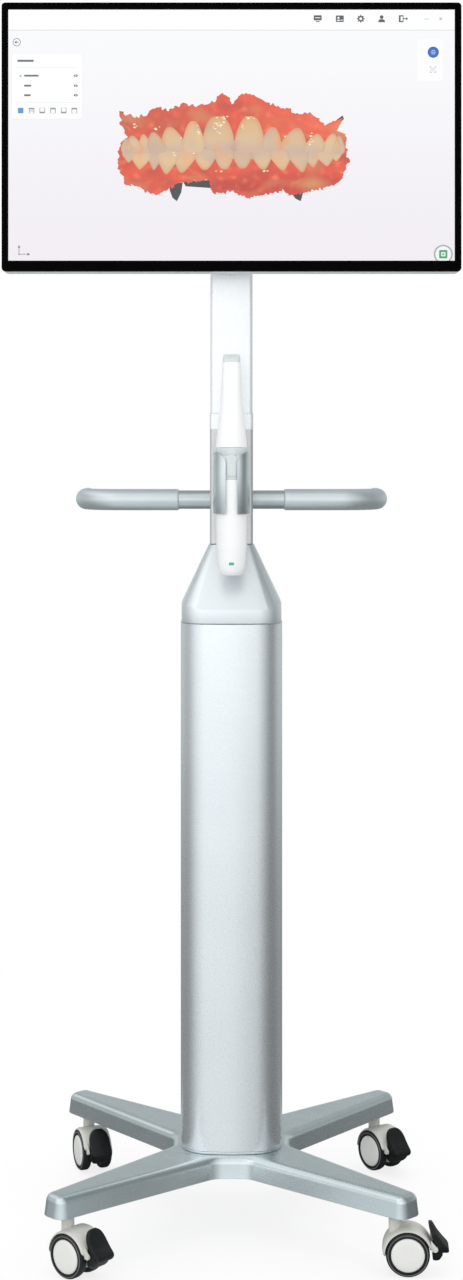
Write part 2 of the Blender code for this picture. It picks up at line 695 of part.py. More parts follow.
TIP_SECTIONS = [        # height, width, depth, shift to the rear, corner radius
    (RING_Z[1] + GAP, 37.5, 37.5, 0.0, 18.6),
    (954.0, 32.8, 33.0, 0.4, 15.0),
    (976.0, 27.2, 27.0, 1.0, 10.5),
    (1004.0, 23.4, 21.0, 2.2, 7.5),
    (1030.0, 21.2, 18.0, 3.4, 6.0),
    (1036.5, 20.6, 15.6, 4.4, 5.2),
    (TIP_TOP - 1.6, 19.8, 9.0, 7.0, 3.6),
    (TIP_TOP, 17.4, 6.0, 7.6, 2.6),
]


def make_tip():
    """Hollow removable tip with a window at the rear, and the slanted mirror in it."""
    at = (0, SCANNER_Y, 0)
    rings = [tip_section(*section) for section in TIP_SECTIONS]
    tip = new_object("scanner_tip", loft_mesh("scanner_tip", rings), "white_plastic", at)
    wall = TIP_WALL
    inner = []
    for z, width, depth, shift, radius in TIP_SECTIONS[:5]:
        low = z - 5 if z < RING_Z[1] + 1 else z
        inner.append(tip_section(low, width - 2 * wall, depth - 2 * wall, shift, max(radius - wall, 2)))
    add_boolean(tip, new_object("tip_hollow", loft_mesh("tip_hollow", inner), at=at))
    width, foot, head = TIP_WINDOW
    window = box_mesh("tip_window", (-width / 2, 6, foot), (width / 2, 20, head), 1.5, 2)
    add_boolean(tip, new_object("tip_window", window, at=at))
    smooth(tip)
    mirror = box_mesh("tip_mirror", (-6.8, -7.5, -0.6), (6.8, 7.5, 0.6))
    new_object("tip_mirror", mirror, "mirror_glass", (0, SCANNER_Y + 2.9, 1021), (MIRROR_TILT, 0, 0))


def shell_half(name, side, sections):
    """Front (side -1) or rear (side 1) half of the handpiece housing, a wall round an open inside."""
    at = (0, SCANNER_Y, 0)
    outer = [[(r * cos(a), r * depth * sin(a), z) for a in ring_angles()] for z, r, depth in sections]
    shell = new_object(name, loft_mesh(name, outer), "white_plastic", at)
    inner = []
    for z, r, depth in sections[2:]:
        top = z + 5 if z > RING_Z[0] - 2 else z
        inside = r - SHELL_WALL
        inner.append([(inside * cos(a), inside * depth * sin(a), top) for a in ring_angles()])
    add_boolean(shell, new_object(f"{name}_hollow", loft_mesh(f"{name}_hollow", inner), at=at))
    near, far = sorted((side * GAP / 2, -side * 40))
    half = box_mesh(f"{name}_cut", (-40, near, 700), (40, far, 1000))
    add_boolean(shell, new_object(f"{name}_cut", half, at=at))
    return shell


def ring_angles(count=28):
    """Evenly spaced angles round the handpiece."""
    return [2 * pi * i / count for i in range(count)]


def make_scanner():
    """Housing halves, status light, control ring with its button, and the optical barrel inside."""
    at = (0, SCANNER_Y, 0)
    top = RING_Z[0] - GAP
    sections = [(TAIL_Z, 8.0, 0.9), (TAIL_Z + 1.0, 12.4, 0.94), (TAIL_Z + 6.0, 15.0, 0.97),
                (TAIL_Z + 18.0, 16.8, 1.0), (TAPER_LOW, BODY_R[0], 1.0), (top, body_radius(top), 1.0)]
    front = shell_half("scanner_front_shell", -1, sections)
    light_hole = box_mesh("light_hole", (-3.2, -25, LIGHT_Z - 1.8), (3.2, -10, LIGHT_Z + 1.8), 1.4, 2)
    add_boolean(front, new_object("light_hole", light_hole, at=at))
    smooth(front)
    smooth(shell_half("scanner_rear_shell", 1, sections))
    light = box_mesh("status_light", (-2.9, -16.6, LIGHT_Z - 1.5), (2.9, -13.6, LIGHT_Z + 1.5), 1.2, 2)
    new_object("status_light", light, "status_green", at)
    low, high = RING_Z
    top_r, foot_r = body_radius(high), body_radius(low)
    profile = [(top_r, high), (foot_r, low), (foot_r - RING_WALL, low), (top_r - RING_WALL, high)]
    ring = new_object("control_ring", turned_mesh("control_ring", profile, 32), "grey_plastic", at)
    arch = arc((0, BUTTON_Z[1]), BUTTON_R, 0, 180, 8) + [(-BUTTON_R, BUTTON_Z[0]), (BUTTON_R, BUTTON_Z[0])]
    recess = flat_mesh("button_recess", inset(arch, -GAP), 12)
    add_boolean(ring, new_object("button_recess", recess, at=(0, SCANNER_Y - 18, 0), turn=(90, 0, 0)))
    smooth(ring)
    button = new_object("scan_button", flat_mesh("scan_button", arch, 3.0), "grey_plastic",
                        (0, SCANNER_Y - 17.9, 0), (90, 0, 0))
    smooth(add_bevel(button, 0.6, 2, 60))
    nose = RING_Z[1] + BARREL_NOSE
    profile = [(0, nose), (6.6, nose), (7.2, 990), (11.2, 950), (12.6, 934), (12.6, 806), (0, 806)]
    barrel = turned_mesh("optics_barrel", profile, 20)
    smooth(new_object("optics_barrel", barrel, "black_plastic", (0, SCANNER_Y + 0.6, 0)))


# Display

def upright_plate(name, width, height, radius, depth, front):
    """A rounded plate that stands across the view, from its front face to the rear."""
    mesh = flat_mesh(name, rounded_rectangle(width, height, radius, 3), depth)
    mesh.transform(Matrix.Rotation(radians(90), 4, "X"))
    return mesh, (0, front + depth / 2, sum(DISPLAY_Z) / 2)


def side_plate(name, outline, thickness):
    """A plate that stands along Y, from an outline of (y, z)."""
    mesh = flat_mesh(name, outline, thickness)
    mesh.transform(Matrix(((0, 0, 1, 0), (1, 0, 0, 0), (0, 1, 0, 0), (0, 0, 0, 1))))
    return mesh


def make_display():
    """Frame, glass and rear housing with its vents, and the power inlet in it."""
    height = DISPLAY_Z[1] - DISPLAY_Z[0]
    mesh, at = upright_plate("display_frame", DISPLAY_W, height, DISPLAY_CORNER, FRAME_DEPTH, DISPLAY_FRONT)
    frame = add_bevel(new_object("display_frame", mesh, "black_plastic", at), 0.8, 2, 60)
    mesh, at = upright_plate("opening", SCREEN_W, SCREEN_H, 0.5, 30, DISPLAY_FRONT - 10)
    screen_z = DISPLAY_Z[1] - TOP_BORDER - SCREEN_H / 2
    add_boolean(frame, new_object("frame_opening", mesh, at=(0, at[1], screen_z)))
    glass_front = DISPLAY_FRONT + GLASS_SET_BACK
    inside_w, inside_h = DISPLAY_W - 2 * BACK_WALL, height - 2 * BACK_WALL
    mesh, at = upright_plate("rebate", inside_w, inside_h, DISPLAY_CORNER - 1, 20, glass_front)
    add_boolean(frame, new_object("frame_rebate", mesh, at=at))
    smooth(frame)
    corner = DISPLAY_CORNER - 1
    mesh, at = upright_plate("display_panel", inside_w - 1, inside_h - 1, corner, 5.0, glass_front + GAP)
    smooth(new_object("display_panel", mesh, "screen_glass", at))
    back_front = DISPLAY_FRONT + FRAME_DEPTH + GAP
    back_depth = DISPLAY_DEPTH - FRAME_DEPTH - GAP
    mesh, at = upright_plate("display_back", DISPLAY_W, height, DISPLAY_CORNER, back_depth, back_front)
    back = add_bevel(new_object("display_back", mesh, "white_plastic", at), 5.0, 3, 60)
    mesh, at = upright_plate("back_hollow", inside_w, inside_h, corner, back_depth, back_front - BACK_WALL)
    add_boolean(back, new_object("back_hollow", mesh, at=at))
    add_boolean(back, new_object("back_vents", vents_mesh()))
    make_inlet(back)
    smooth(back)


def vents_mesh():
    """One row of upright slots for the top of the rear housing."""
    form = bmesh.new()
    width, height = VENT_SIZE
    top = DISPLAY_Z[1] - VENT_DROP
    for i in range(VENTS):
        x = (i - (VENTS - 1) / 2) * VENT_PITCH
        slot = box_mesh("slot", (x - width / 2, -50, top - height), (x + width / 2, -20, top))
        form.from_mesh(slot)
        bpy.data.meshes.remove(slot)
    mesh = bpy.data.meshes.new("vents")
    form.to_mesh(mesh)
    form.free()
    return mesh


def make_inlet(back):
    """Opening in the rear housing, with the power inlet set into it."""
    left, right, low, high = SOCKET
    hole = box_mesh("socket_hole", (left, -50, low), (right, -20, high), 2, 1)
    add_boolean(back, new_object("socket_hole", hole))
    block = box_mesh("power_inlet", (left + GAP, -56, low + GAP), (right - GAP, -36, high - GAP), 2, 1)
    inlet = new_object("power_inlet", block, "black_plastic")
    mouth = box_mesh("mouth", (left + 4, -50, low + 4), (right - 4, -30, high - 4), 2, 1)
    add_boolean(inlet, new_object("inlet_mouth", mouth))


def make_tilt():
    """Mount plate with two lugs on the display's back, and the forked bracket on the post that carries it."""
    back = DISPLAY_FRONT + DISPLAY_DEPTH + GAP
    tilt = new_empty("display_tilt", (0, TILT_Y, TILT_Z), 0, CART)
    plate_mesh = box_mesh("mount_plate", (-PLATE_HALF, back, TILT_Z - PLATE_HALF),
                          (PLATE_HALF, back + PLATE_THICK, TILT_Z + PLATE_HALF))
    plate_mesh.transform(Matrix.Translation(-tilt.location))
    plate = new_object("mount_plate", plate_mesh, "steel", parent=tilt)
    root = back + PLATE_THICK / 2 - TILT_Y
    lug = arc((0, 0), LUG_R, -80, 80, 6) + [(root, 14), (root, -14)]
    for side in (-1, 1):
        mesh = side_plate("lug", lug, LUG_THICK)
        add_boolean(plate, new_object(f"lug_{side + 1}", mesh, at=(side * LUG_AT, 0, 0), parent=tilt), "UNION")
    hole = rod_mesh("lug_holes", TILT_PIN_R + 0.2, (-40, 0, 0), (40, 0, 0), 20)
    add_boolean(plate, new_object("lug_holes", hole, parent=tilt))
    width, depth, radius = POST_UPPER
    foot = POST_TOP + GAP
    base_mesh = flat_mesh("tilt_bracket", rounded_rectangle(width, depth, radius, 4), FORK_BASE)
    bracket = new_object("tilt_bracket", base_mesh, "steel", (0, 0, foot + FORK_BASE / 2))
    drop = foot + 2 - TILT_Z
    ear = [(16.0 - TILT_Y, drop)] + arc((0, 0), LUG_R, 0, 180, 8) + [(-LUG_R, drop + 12), (-LUG_R, drop)]
    for side in (-1, 1):
        at = (side * FORK_AT, TILT_Y, TILT_Z)
        add_boolean(bracket, new_object(f"ear_{side + 1}", side_plate("ear", ear, LUG_THICK), at=at), "UNION")
    hole = rod_mesh("ear_holes", TILT_PIN_R + GAP, (-40, 0, 0), (40, 0, 0), 20)
    add_boolean(bracket, new_object("ear_holes", hole, at=(0, TILT_Y, TILT_Z)))
    pin = rod_mesh("tilt_pin", TILT_PIN_R, (-TILT_PIN_HALF, 0, 0), (TILT_PIN_HALF, 0, 0), 20)
    smooth(new_object("tilt_pin", pin, "steel", at=(0, TILT_Y, TILT_Z)))



clear_scene()
PARTS = new_collection("intraoral_scanner_cart")
CUTTERS = new_collection("cutters")
CART = new_empty("cart", (0, AXIS_Y, 0))
make_base()
make_castors()
make_column()
make_shroud()
make_post()
make_handle()
make_cradle()
make_tip()
make_scanner()
make_display()
make_tilt()
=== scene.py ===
"""Looks of the intraoral scanner cart: its finishes, its finer pieces, the picture on its screen, and the studio."""

import logging
from dataclasses import dataclass, field
from enum import Enum
from math import acos, asin, cos, degrees, pi, radians, sin, sqrt
from random import Random

import bmesh
import bpy
from mathutils import Matrix, Vector, noise


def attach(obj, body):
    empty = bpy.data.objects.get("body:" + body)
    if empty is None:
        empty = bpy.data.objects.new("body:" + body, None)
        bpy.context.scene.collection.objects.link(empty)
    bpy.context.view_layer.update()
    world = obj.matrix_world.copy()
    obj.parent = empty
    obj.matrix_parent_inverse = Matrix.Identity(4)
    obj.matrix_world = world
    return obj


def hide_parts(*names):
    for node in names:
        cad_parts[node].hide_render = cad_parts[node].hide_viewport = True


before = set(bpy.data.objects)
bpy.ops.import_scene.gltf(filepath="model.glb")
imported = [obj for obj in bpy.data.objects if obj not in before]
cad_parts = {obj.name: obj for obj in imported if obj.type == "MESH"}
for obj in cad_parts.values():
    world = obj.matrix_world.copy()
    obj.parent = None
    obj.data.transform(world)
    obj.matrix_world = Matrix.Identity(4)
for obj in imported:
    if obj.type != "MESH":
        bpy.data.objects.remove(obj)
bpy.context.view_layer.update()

log = logging.getLogger("scanner_cart")

Colour = tuple[float, float, float]
Flat = tuple[float, float]
Point = tuple[float, float, float]

MM = 0.001
AXIS_Y = 8.0            # the column's axis, behind the middle of the footprint
GAP = 0.3               # between pieces that seat on each other
PICTURE = "picture"     # the colour attribute of the screen's picture


def ink(red: float, green: float, blue: float) -> Colour:
    """Turns a colour written in 0 to 255 into linear light.

    Args:
        red: The written red.
        green: The written green.
        blue: The written blue.

    Returns:
        The same colour as a shader reads it.
    """
    shares = [value / 255 for value in (red, green, blue)]
    return tuple(s / 12.92 if s <= 0.04045 else ((s + 0.055) / 1.055) ** 2.4 for s in shares)


# Node trees

class Tree:
    """Short calls that fill a node tree."""

    def __init__(self, tree: bpy.types.NodeTree) -> None:
        """Keeps the tree to fill."""
        self.tree = tree

    def add(self, kind: str, **values: object) -> bpy.types.Node:
        """Adds a node.

        Args:
            kind: The node's type name without its ShaderNode prefix.
            values: Settings of the node, or values of its inputs, by name with underscores for spaces.

        Returns:
            The new node.
        """
        node = self.tree.nodes.new(f"ShaderNode{kind}")
        for name, value in values.items():
            if hasattr(node, name):
                setattr(node, name, value)
            else:
                self.feed(node, name.replace("_", " "), value)
        return node

    def feed(self, node: bpy.types.Node, name: str | int, value: object) -> None:
        """Sets or links one input.

        Args:
            node: The node that has the input.
            name: The input's name or number.
            value: A socket to link, or a plain value.
        """
        target = node.inputs[name]
        if isinstance(value, bpy.types.NodeSocket):
            self.tree.links.new(value, target)
        elif isinstance(value, tuple) and target.type == "RGBA":
            target.default_value = (*value, 1.0)
        else:
            target.default_value = value

    def maths(self, operation: str, first: object, second: object = 0.0, clamp: bool = False) -> bpy.types.NodeSocket:
        """A Math node's result.

        Args:
            operation: What it does with its values.
            first: A socket or number.
            second: A socket or number.
            clamp: Keeps the result from 0 to 1.

        Returns:
            The socket that holds the result.
        """
        node = self.add("Math", operation=operation, use_clamp=clamp)
        self.feed(node, 0, first)
        self.feed(node, 1, second)
        return node.outputs[0]

    def span(self, value: object, low: float, high: float, start: float = 0.0, end: float = 1.0) -> bpy.types.NodeSocket:
        """Maps a value smoothly from one range to another.

        Args:
            value: The socket to map.
            low: Where the first range starts.
            high: Where the first range ends.
            start: Where the second range starts.
            end: Where the second range ends.

        Returns:
            The socket that holds the mapped value.
        """
        node = self.add("MapRange", interpolation_type="SMOOTHSTEP")
        for name, number in (("Value", value), ("From Min", low), ("From Max", high), ("To Min", start), ("To Max", end)):
            self.feed(node, name, number)
        return node.outputs["Result"]

    def ramp(self, value: object, stops: tuple[Flat, ...]) -> bpy.types.NodeSocket:
        """A curve of grey levels through stops.

        Args:
            value: The socket to look up, from 0 to 1.
            stops: The curve's points, each a place from 0 to 1 and its level.

        Returns:
            The socket that holds the level.
        """
        node = self.add("ValToRGB")
        self.feed(node, "Fac", value)
        curve = node.color_ramp
        curve.interpolation = "B_SPLINE"
        while len(curve.elements) < len(stops):
            curve.elements.new(1.0)
        for element, (place, level) in zip(curve.elements, stops):
            element.position = place
            element.color = (level, level, level, 1.0)
        return node.outputs["Color"]

    def blend(self, share: object, first: object, second: object) -> bpy.types.NodeSocket:
        """Mixes two colours.

        Args:
            share: How much of the second one shows.
            first: A socket or colour.
            second: A socket or colour.

        Returns:
            The socket that holds the mixed colour.
        """
        node = self.add("Mix", data_type="RGBA")
        self.feed(node, 0, share)
        self.feed(node, 6, first)
        self.feed(node, 7, second)
        return node.outputs[2]

    def noise(self, scale: object, detail: float = 3.0, stretch: Point = (1, 1, 1)) -> bpy.types.NodeSocket:
        """Noise in the object's own space.

        Args:
            scale: Patches per metre.
            detail: How many finer layers it has.
            stretch: Scale along each axis.

        Returns:
            The socket that holds the noise, about 0.5.
        """
        place = self.add("TexCoord").outputs["Object"]
        if stretch != (1, 1, 1):
            place = self.add("Mapping", Vector=place, Scale=stretch).outputs[0]
        node = self.add("TexNoise", Vector=place, Detail=detail)
        self.feed(node, "Scale", scale)
        return node.outputs[0]


def new_group(name: str, inputs: dict[str, object], outputs: dict[str, str]) -> tuple[Tree, dict, bpy.types.Node]:
    """Starts a shader node group.

    Args:
        name: The group's name.
        inputs: Each input's name with its plain value, a number or a colour.
        outputs: Each output's name with Float or Color.

    Returns:
        The tree, its input sockets by name, and its output node.
    """
    group = bpy.data.node_groups.new(name, "ShaderNodeTree")
    for label, value in inputs.items():
        kind = "Color" if isinstance(value, tuple) else "Float"
        socket = group.interface.new_socket(name=label, in_out="INPUT", socket_type=f"NodeSocket{kind}")
        socket.default_value = (*value, 1.0) if isinstance(value, tuple) else value
    for label, kind in outputs.items():
        group.interface.new_socket(name=label, in_out="OUTPUT", socket_type=f"NodeSocket{kind}")
    tree = Tree(group)
    start = group.nodes.new("NodeGroupInput")
    end = group.nodes.new("NodeGroupOutput")
    return tree, {socket.name: socket for socket in start.outputs}, end


def mottle_group() -> bpy.types.NodeTree:
    """A colour that drifts towards a tint in soft patches.

    Returns:
        The node group.
    """
    tree, given, end = new_group("mottle", {"Colour": (1, 1, 1), "Tint": (1, 1, 1), "Scale": 12.0, "Amount": 0.5},
                                 {"Colour": "Color"})
    patches = tree.span(tree.noise(given["Scale"], 4.0), 0.35, 0.7)
    share = tree.maths("MULTIPLY", patches, given["Amount"])
    tree.feed(end, "Colour", tree.blend(share, given["Colour"], given["Tint"]))
    return tree.tree


def grain_group() -> bpy.types.NodeTree:
    """Fine grain with broad handling marks, as a roughness and a height.

    Returns:
        The node group.
    """
    tree, given, end = new_group("grain", {"Scale": 900.0, "Roughness": 0.4, "Spread": 0.1},
                                 {"Roughness": "Float", "Height": "Float"})
    fine = tree.noise(given["Scale"], 2.0)
    broad = tree.noise(17.0, 5.0)
    both = tree.maths("SUBTRACT", tree.maths("ADD", fine, broad), 1.0)
    rough = tree.maths("ADD", given["Roughness"], tree.maths("MULTIPLY", both, given["Spread"]), clamp=True)
    tree.feed(end, "Roughness", rough)
    tree.feed(end, "Height", fine)
    return tree.tree


def brushing_group() -> bpy.types.NodeTree:
    """Fine lines along X or Z, as a roughness and a height.

    Returns:
        The node group.
    """
    tree, given, end = new_group("brushing", {"Roughness": 0.3, "Spread": 0.1, "Upright": 0.0},
                                 {"Roughness": "Float", "Height": "Float"})
    level = tree.noise(1.0, 4.0, (14, 900, 900))
    upright = tree.noise(1.0, 4.0, (900, 900, 14))
    pick = tree.add("Mix", data_type="FLOAT")
    tree.feed(pick, 0, given["Upright"])
    tree.feed(pick, 2, level)
    tree.feed(pick, 3, upright)
    lines = pick.outputs[0]
    off = tree.maths("MULTIPLY", tree.maths("SUBTRACT", lines, 0.5), given["Spread"])
    tree.feed(end, "Roughness", tree.maths("ADD", given["Roughness"], off, clamp=True))
    tree.feed(end, "Height", lines)
    return tree.tree


def edge_wear_group() -> bpy.types.NodeTree:
    """A colour that rubs through to another along edges.

    Returns:
        The node group.
    """
    tree, given, end = new_group("edge_wear", {"Colour": (1, 1, 1), "Worn": (1, 1, 1), "Radius": 0.001, "Amount": 0.5},
                                 {"Colour": "Color"})
    soft = tree.add("Bevel", samples=4)
    tree.feed(soft, "Radius", given["Radius"])
    hard = tree.add("NewGeometry").outputs["Normal"]
    facing = tree.add("VectorMath", operation="DOT_PRODUCT")
    tree.feed(facing, 0, soft.outputs[0])
    tree.feed(facing, 1, hard)
    edge = tree.span(facing.outputs["Value"], 0.995, 0.9)
    patches = tree.span(tree.noise(160.0, 3.0), 0.42, 0.62)
    share = tree.maths("MULTIPLY", tree.maths("MULTIPLY", edge, patches), given["Amount"])
    tree.feed(end, "Colour", tree.blend(share, given["Colour"], given["Worn"]))
    return tree.tree


def dust_group() -> bpy.types.NodeTree:
    """A colour with a thin film of dust where the surface faces up.

    Returns:
        The node group.
    """
    tree, given, end = new_group("dust", {"Colour": (1, 1, 1), "Dust": (0.6, 0.6, 0.6), "Amount": 0.2},
                                 {"Colour": "Color"})
    split = tree.add("SeparateXYZ", Vector=tree.add("NewGeometry").outputs["Normal"])
    facing = tree.span(split.outputs["Z"], 0.3, 0.95)
    patches = tree.span(tree.noise(55.0, 5.0), 0.3, 0.75)
    share = tree.maths("MULTIPLY", tree.maths("MULTIPLY", facing, patches), given["Amount"])
    tree.feed(end, "Colour", tree.blend(share, given["Colour"], given["Dust"]))
    return tree.tree


class Effect(Enum):
    """The effects that more than one finish uses, each a node group."""

    MOTTLE = "mottle"
    GRAIN = "grain"
    BRUSHING = "brushing"
    EDGE_WEAR = "edge_wear"
    DUST = "dust"

    def group(self) -> bpy.types.NodeTree:
        """The effect's node group, made at its first use.

        Returns:
            The node group.
        """
        makers = {Effect.MOTTLE: mottle_group, Effect.GRAIN: grain_group, Effect.BRUSHING: brushing_group,
                  Effect.EDGE_WEAR: edge_wear_group, Effect.DUST: dust_group}
        return bpy.data.node_groups.get(self.value) or makers[self]()

    def place(self, tree: Tree, **values: object) -> bpy.types.Node:
        """Puts the effect in a material.

        Args:
            tree: The material's tree.
            values: The group's inputs by name.

        Returns:
            The group node.
        """
        node = tree.add("Group")
        node.node_tree = self.group()
        for name, value in values.items():
            tree.feed(node, name, value)
        return node


# Finishes

@dataclass(frozen=True)
class Finish:
    """What every finish has: a name, the record's slot, and its plain values."""

    name: str
    slot: str
    colour: Colour
    roughness: float

    def material(self) -> bpy.types.Material:
        """The finish's material, made at its first use.

        Returns:
            The material.
        """
        made = bpy.data.materials.get(f"finish_{self.name}")
        if made:
            return made
        made = bpy.data.materials.new(f"finish_{self.name}")
        made.use_nodes = True
        tree = Tree(made.node_tree)
        self.dress(tree, made.node_tree.nodes["Principled BSDF"])
        return made

    def dress(self, tree: Tree, shader: bpy.types.Node) -> None:
        """Sets the shader's values.

        Args:
            tree: The material's tree.
            shader: Its Principled shader.
        """
        tree.feed(shader, "Base Color", self.colour)
        tree.feed(shader, "Roughness", self.roughness)

    def raise_grain(self, tree: Tree, shader: bpy.types.Node, height: bpy.types.NodeSocket, depth: float) -> None:
        """Gives the surface a relief.

        Args:
            tree: The material's tree.
            shader: Its Principled shader.
            height: The socket that holds the relief.
            depth: How deep the relief is, in millimetres.
        """
        bump = tree.add("Bump", Height=height)
        tree.feed(bump, "Strength", 0.6)
        tree.feed(bump, "Distance", depth * MM)
        tree.feed(shader, "Normal", bump.outputs[0])


@dataclass(frozen=True)
class Lacquer(Finish):
    """Sprayed paint with fine flakes under a clear coat, rubbed along its edges."""

    tint: Colour = (0.5, 0.5, 0.5)
    metallic: float = 0.5
    coat: float = 0.3
    worn: Colour = (0.75, 0.77, 0.78)
    wear: float = 0.35
    grime: float = 0.12

    def dress(self, tree: Tree, shader: bpy.types.Node) -> None:
        """Builds paint, flakes, wear, dust and coat.

        Args:
            tree: The material's tree.
            shader: Its Principled shader.
        """
        mottle = Effect.MOTTLE.place(tree, Colour=self.colour, Tint=self.tint, Scale=9.0, Amount=0.45)
        wear = Effect.EDGE_WEAR.place(tree, Colour=mottle.outputs[0], Worn=self.worn, Radius=0.0012, Amount=self.wear)
        dust = Effect.DUST.place(tree, Colour=wear.outputs[0], Dust=ink(178, 176, 170), Amount=self.grime)
        grain = Effect.GRAIN.place(tree, Scale=1400.0, Roughness=self.roughness, Spread=0.08)
        tree.feed(shader, "Base Color", dust.outputs[0])
        tree.feed(shader, "Roughness", grain.outputs["Roughness"])
        tree.feed(shader, "Metallic", self.metallic)
        tree.feed(shader, "Coat Weight", self.coat)
        tree.feed(shader, "Coat Roughness", 0.18)
        self.raise_grain(tree, shader, grain.outputs["Height"], 0.015)


@dataclass(frozen=True)
class Moulded(Finish):
    """Injection-moulded plastic with a spark-eroded grain."""

    tint: Colour = (0.5, 0.5, 0.5)
    grain: float = 700.0
    depth: float = 0.05
    spread: float = 0.12
    coat: float = 0.0
    grime: float = 0.1
    wear: float = 0.2
    shine: float = 0.5

    def dress(self, tree: Tree, shader: bpy.types.Node) -> None:
        """Builds the colour drift, edge shine, dust and moulded grain.

        Args:
            tree: The material's tree.
            shader: Its Principled shader.
        """
        mottle = Effect.MOTTLE.place(tree, Colour=self.colour, Tint=self.tint, Scale=22.0, Amount=0.4)
        wear = Effect.EDGE_WEAR.place(tree, Colour=mottle.outputs[0], Worn=self.tint, Radius=0.0008, Amount=self.wear)
        dust = Effect.DUST.place(tree, Colour=wear.outputs[0], Dust=ink(170, 168, 162), Amount=self.grime)
        grain = Effect.GRAIN.place(tree, Scale=self.grain, Roughness=self.roughness, Spread=self.spread)
        tree.feed(shader, "Base Color", dust.outputs[0])
        tree.feed(shader, "Roughness", grain.outputs["Roughness"])
        tree.feed(shader, "Specular IOR Level", self.shine)
        tree.feed(shader, "Coat Weight", self.coat)
        tree.feed(shader, "Coat Roughness", 0.1)
        self.raise_grain(tree, shader, grain.outputs["Height"], self.depth)


@dataclass(frozen=True)
class Brushed(Finish):
    """Bare or plated metal with fine lines along X, or upright."""

    tint: Colour = (0.5, 0.5, 0.5)
    upright: float = 0.0
    metallic: float = 0.95

    def dress(self, tree: Tree, shader: bpy.types.Node) -> None:
        """Builds the metal's colour drift and its lines.

        Args:
            tree: The material's tree.
            shader: Its Principled shader.
        """
        mottle = Effect.MOTTLE.place(tree, Colour=self.colour, Tint=self.tint, Scale=30.0, Amount=0.5)
        lines = Effect.BRUSHING.place(tree, Roughness=self.roughness, Spread=0.16, Upright=self.upright)
        tree.feed(shader, "Base Color", mottle.outputs[0])
        tree.feed(shader, "Roughness", lines.outputs["Roughness"])
        tree.feed(shader, "Metallic", self.metallic)
        self.raise_grain(tree, shader, lines.outputs["Height"], 0.015)


@dataclass(frozen=True)
class Glass(Finish):
    """Dark cover glass with faint finger marks."""

    def dress(self, tree: Tree, shader: bpy.types.Node) -> None:
        """Builds the glass over black.

        Args:
            tree: The material's tree.
            shader: Its Principled shader.
        """
        mottle = Effect.MOTTLE.place(tree, Colour=self.colour, Tint=ink(26, 27, 30), Scale=30.0, Amount=0.6)
        grain = Effect.GRAIN.place(tree, Scale=400.0, Roughness=self.roughness, Spread=0.12)
        tree.feed(shader, "Base Color", mottle.outputs[0])
        tree.feed(shader, "Roughness", grain.outputs["Roughness"])
        tree.feed(shader, "Coat Weight", 0.6)
        tree.feed(shader, "Coat Roughness", 0.03)


@dataclass(frozen=True)
class Lit(Finish):
    """A lit picture behind glass, in one colour or in its mesh's own colours, with the fine grid of its dots."""

    painted: bool = False
    strength: float = 1.0

    def dress(self, tree: Tree, shader: bpy.types.Node) -> None:
        """Builds the light and the glass that covers it.

        Args:
            tree: The material's tree.
            shader: Its Principled shader.
        """
        light = tree.add("VertexColor", layer_name=PICTURE).outputs[0] if self.painted else self.colour
        dots = tree.span(tree.noise(2600.0, 0.0), 0.2, 0.8)
        shade = tree.blend(tree.maths("MULTIPLY", dots, 0.06), light, (0.0, 0.0, 0.0))
        tree.feed(shader, "Base Color", (0.01, 0.01, 0.01))
        tree.feed(shader, "Emission Color", shade)
        tree.feed(shader, "Emission Strength", self.strength)
        tree.feed(shader, "Roughness", self.roughness)
        tree.feed(shader, "Specular IOR Level", 0.25)


SILVER = Lacquer("silver", "silver_paint", ink(219, 229, 232), 0.28, tint=ink(204, 216, 221), metallic=0.9, coat=0.1)
COLUMN = Lacquer("column", "column_satin", ink(240, 244, 247), 0.27, tint=ink(232, 237, 241), metallic=0.86, coat=0.1,
                 wear=0.1, grime=0.05)
SHROUD = Lacquer("shroud", "silver_paint", ink(234, 240, 243), 0.38, tint=ink(225, 232, 236), metallic=0.8, coat=0.05,
                 wear=0.15, grime=0.05)
POST_GREY = Lacquer("post_grey", "column_satin", ink(212, 214, 214), 0.36, tint=ink(204, 207, 207), metallic=0.7,
                    coat=0.05, wear=0.1, grime=0.05)
WHITE_PAINT = Lacquer("white_paint", "white_paint", ink(240, 243, 245), 0.28, tint=ink(233, 237, 240), metallic=0.45,
                      coat=0.2, wear=0.1, grime=0.06)
STEEL = Brushed("steel", "steel", ink(206, 214, 217), 0.26, tint=ink(190, 199, 203))
BAR = Brushed("bar", "steel", ink(203, 211, 214), 0.34, tint=ink(190, 199, 202), metallic=0.9)
PLATE = Brushed("plate", "steel", ink(190, 196, 198), 0.34, tint=ink(176, 182, 185), upright=1.0)
CRADLE = Brushed("cradle", "cradle_metal", ink(214, 222, 225), 0.29, tint=ink(202, 211, 215), upright=1.0, metallic=0.9)
GRIP = Lacquer("grip", "grip_grey", ink(215, 224, 227), 0.40, tint=ink(204, 214, 217), metallic=0.75, coat=0.05, wear=0.1,
               grime=0.03)
SCANNER_WHITE = Moulded("scanner_white", "scanner_white", ink(247, 248, 248), 0.26, tint=ink(241, 243, 244), grain=1500.0,
                        depth=0.01, spread=0.08, coat=0.35, grime=0.02, wear=0.05)
SCANNER_GREY = Moulded("scanner_grey", "scanner_grey", ink(215, 222, 223), 0.38, tint=ink(208, 215, 217), grain=1200.0,
                       depth=0.02, grime=0.03)
# Painted shade: a grey standing in for the shade on the tip's backward-bevelled top, which faces dimmer light from
# above.
TIP_PAINTED_SHADE = Moulded("tip_painted_shade", "scanner_grey", ink(216, 221, 220), 0.45, tint=ink(208, 214, 213), grain=1500.0, grime=0.02)
KEY_GREY = Moulded("key_grey", "scanner_grey", ink(220, 226, 226), 0.42, tint=ink(212, 218, 219), grain=1200.0, grime=0.02)
DISPLAY_WHITE = Moulded("display_white", "display_white", ink(228, 230, 232), 0.42, tint=ink(219, 222, 225), grain=600.0)
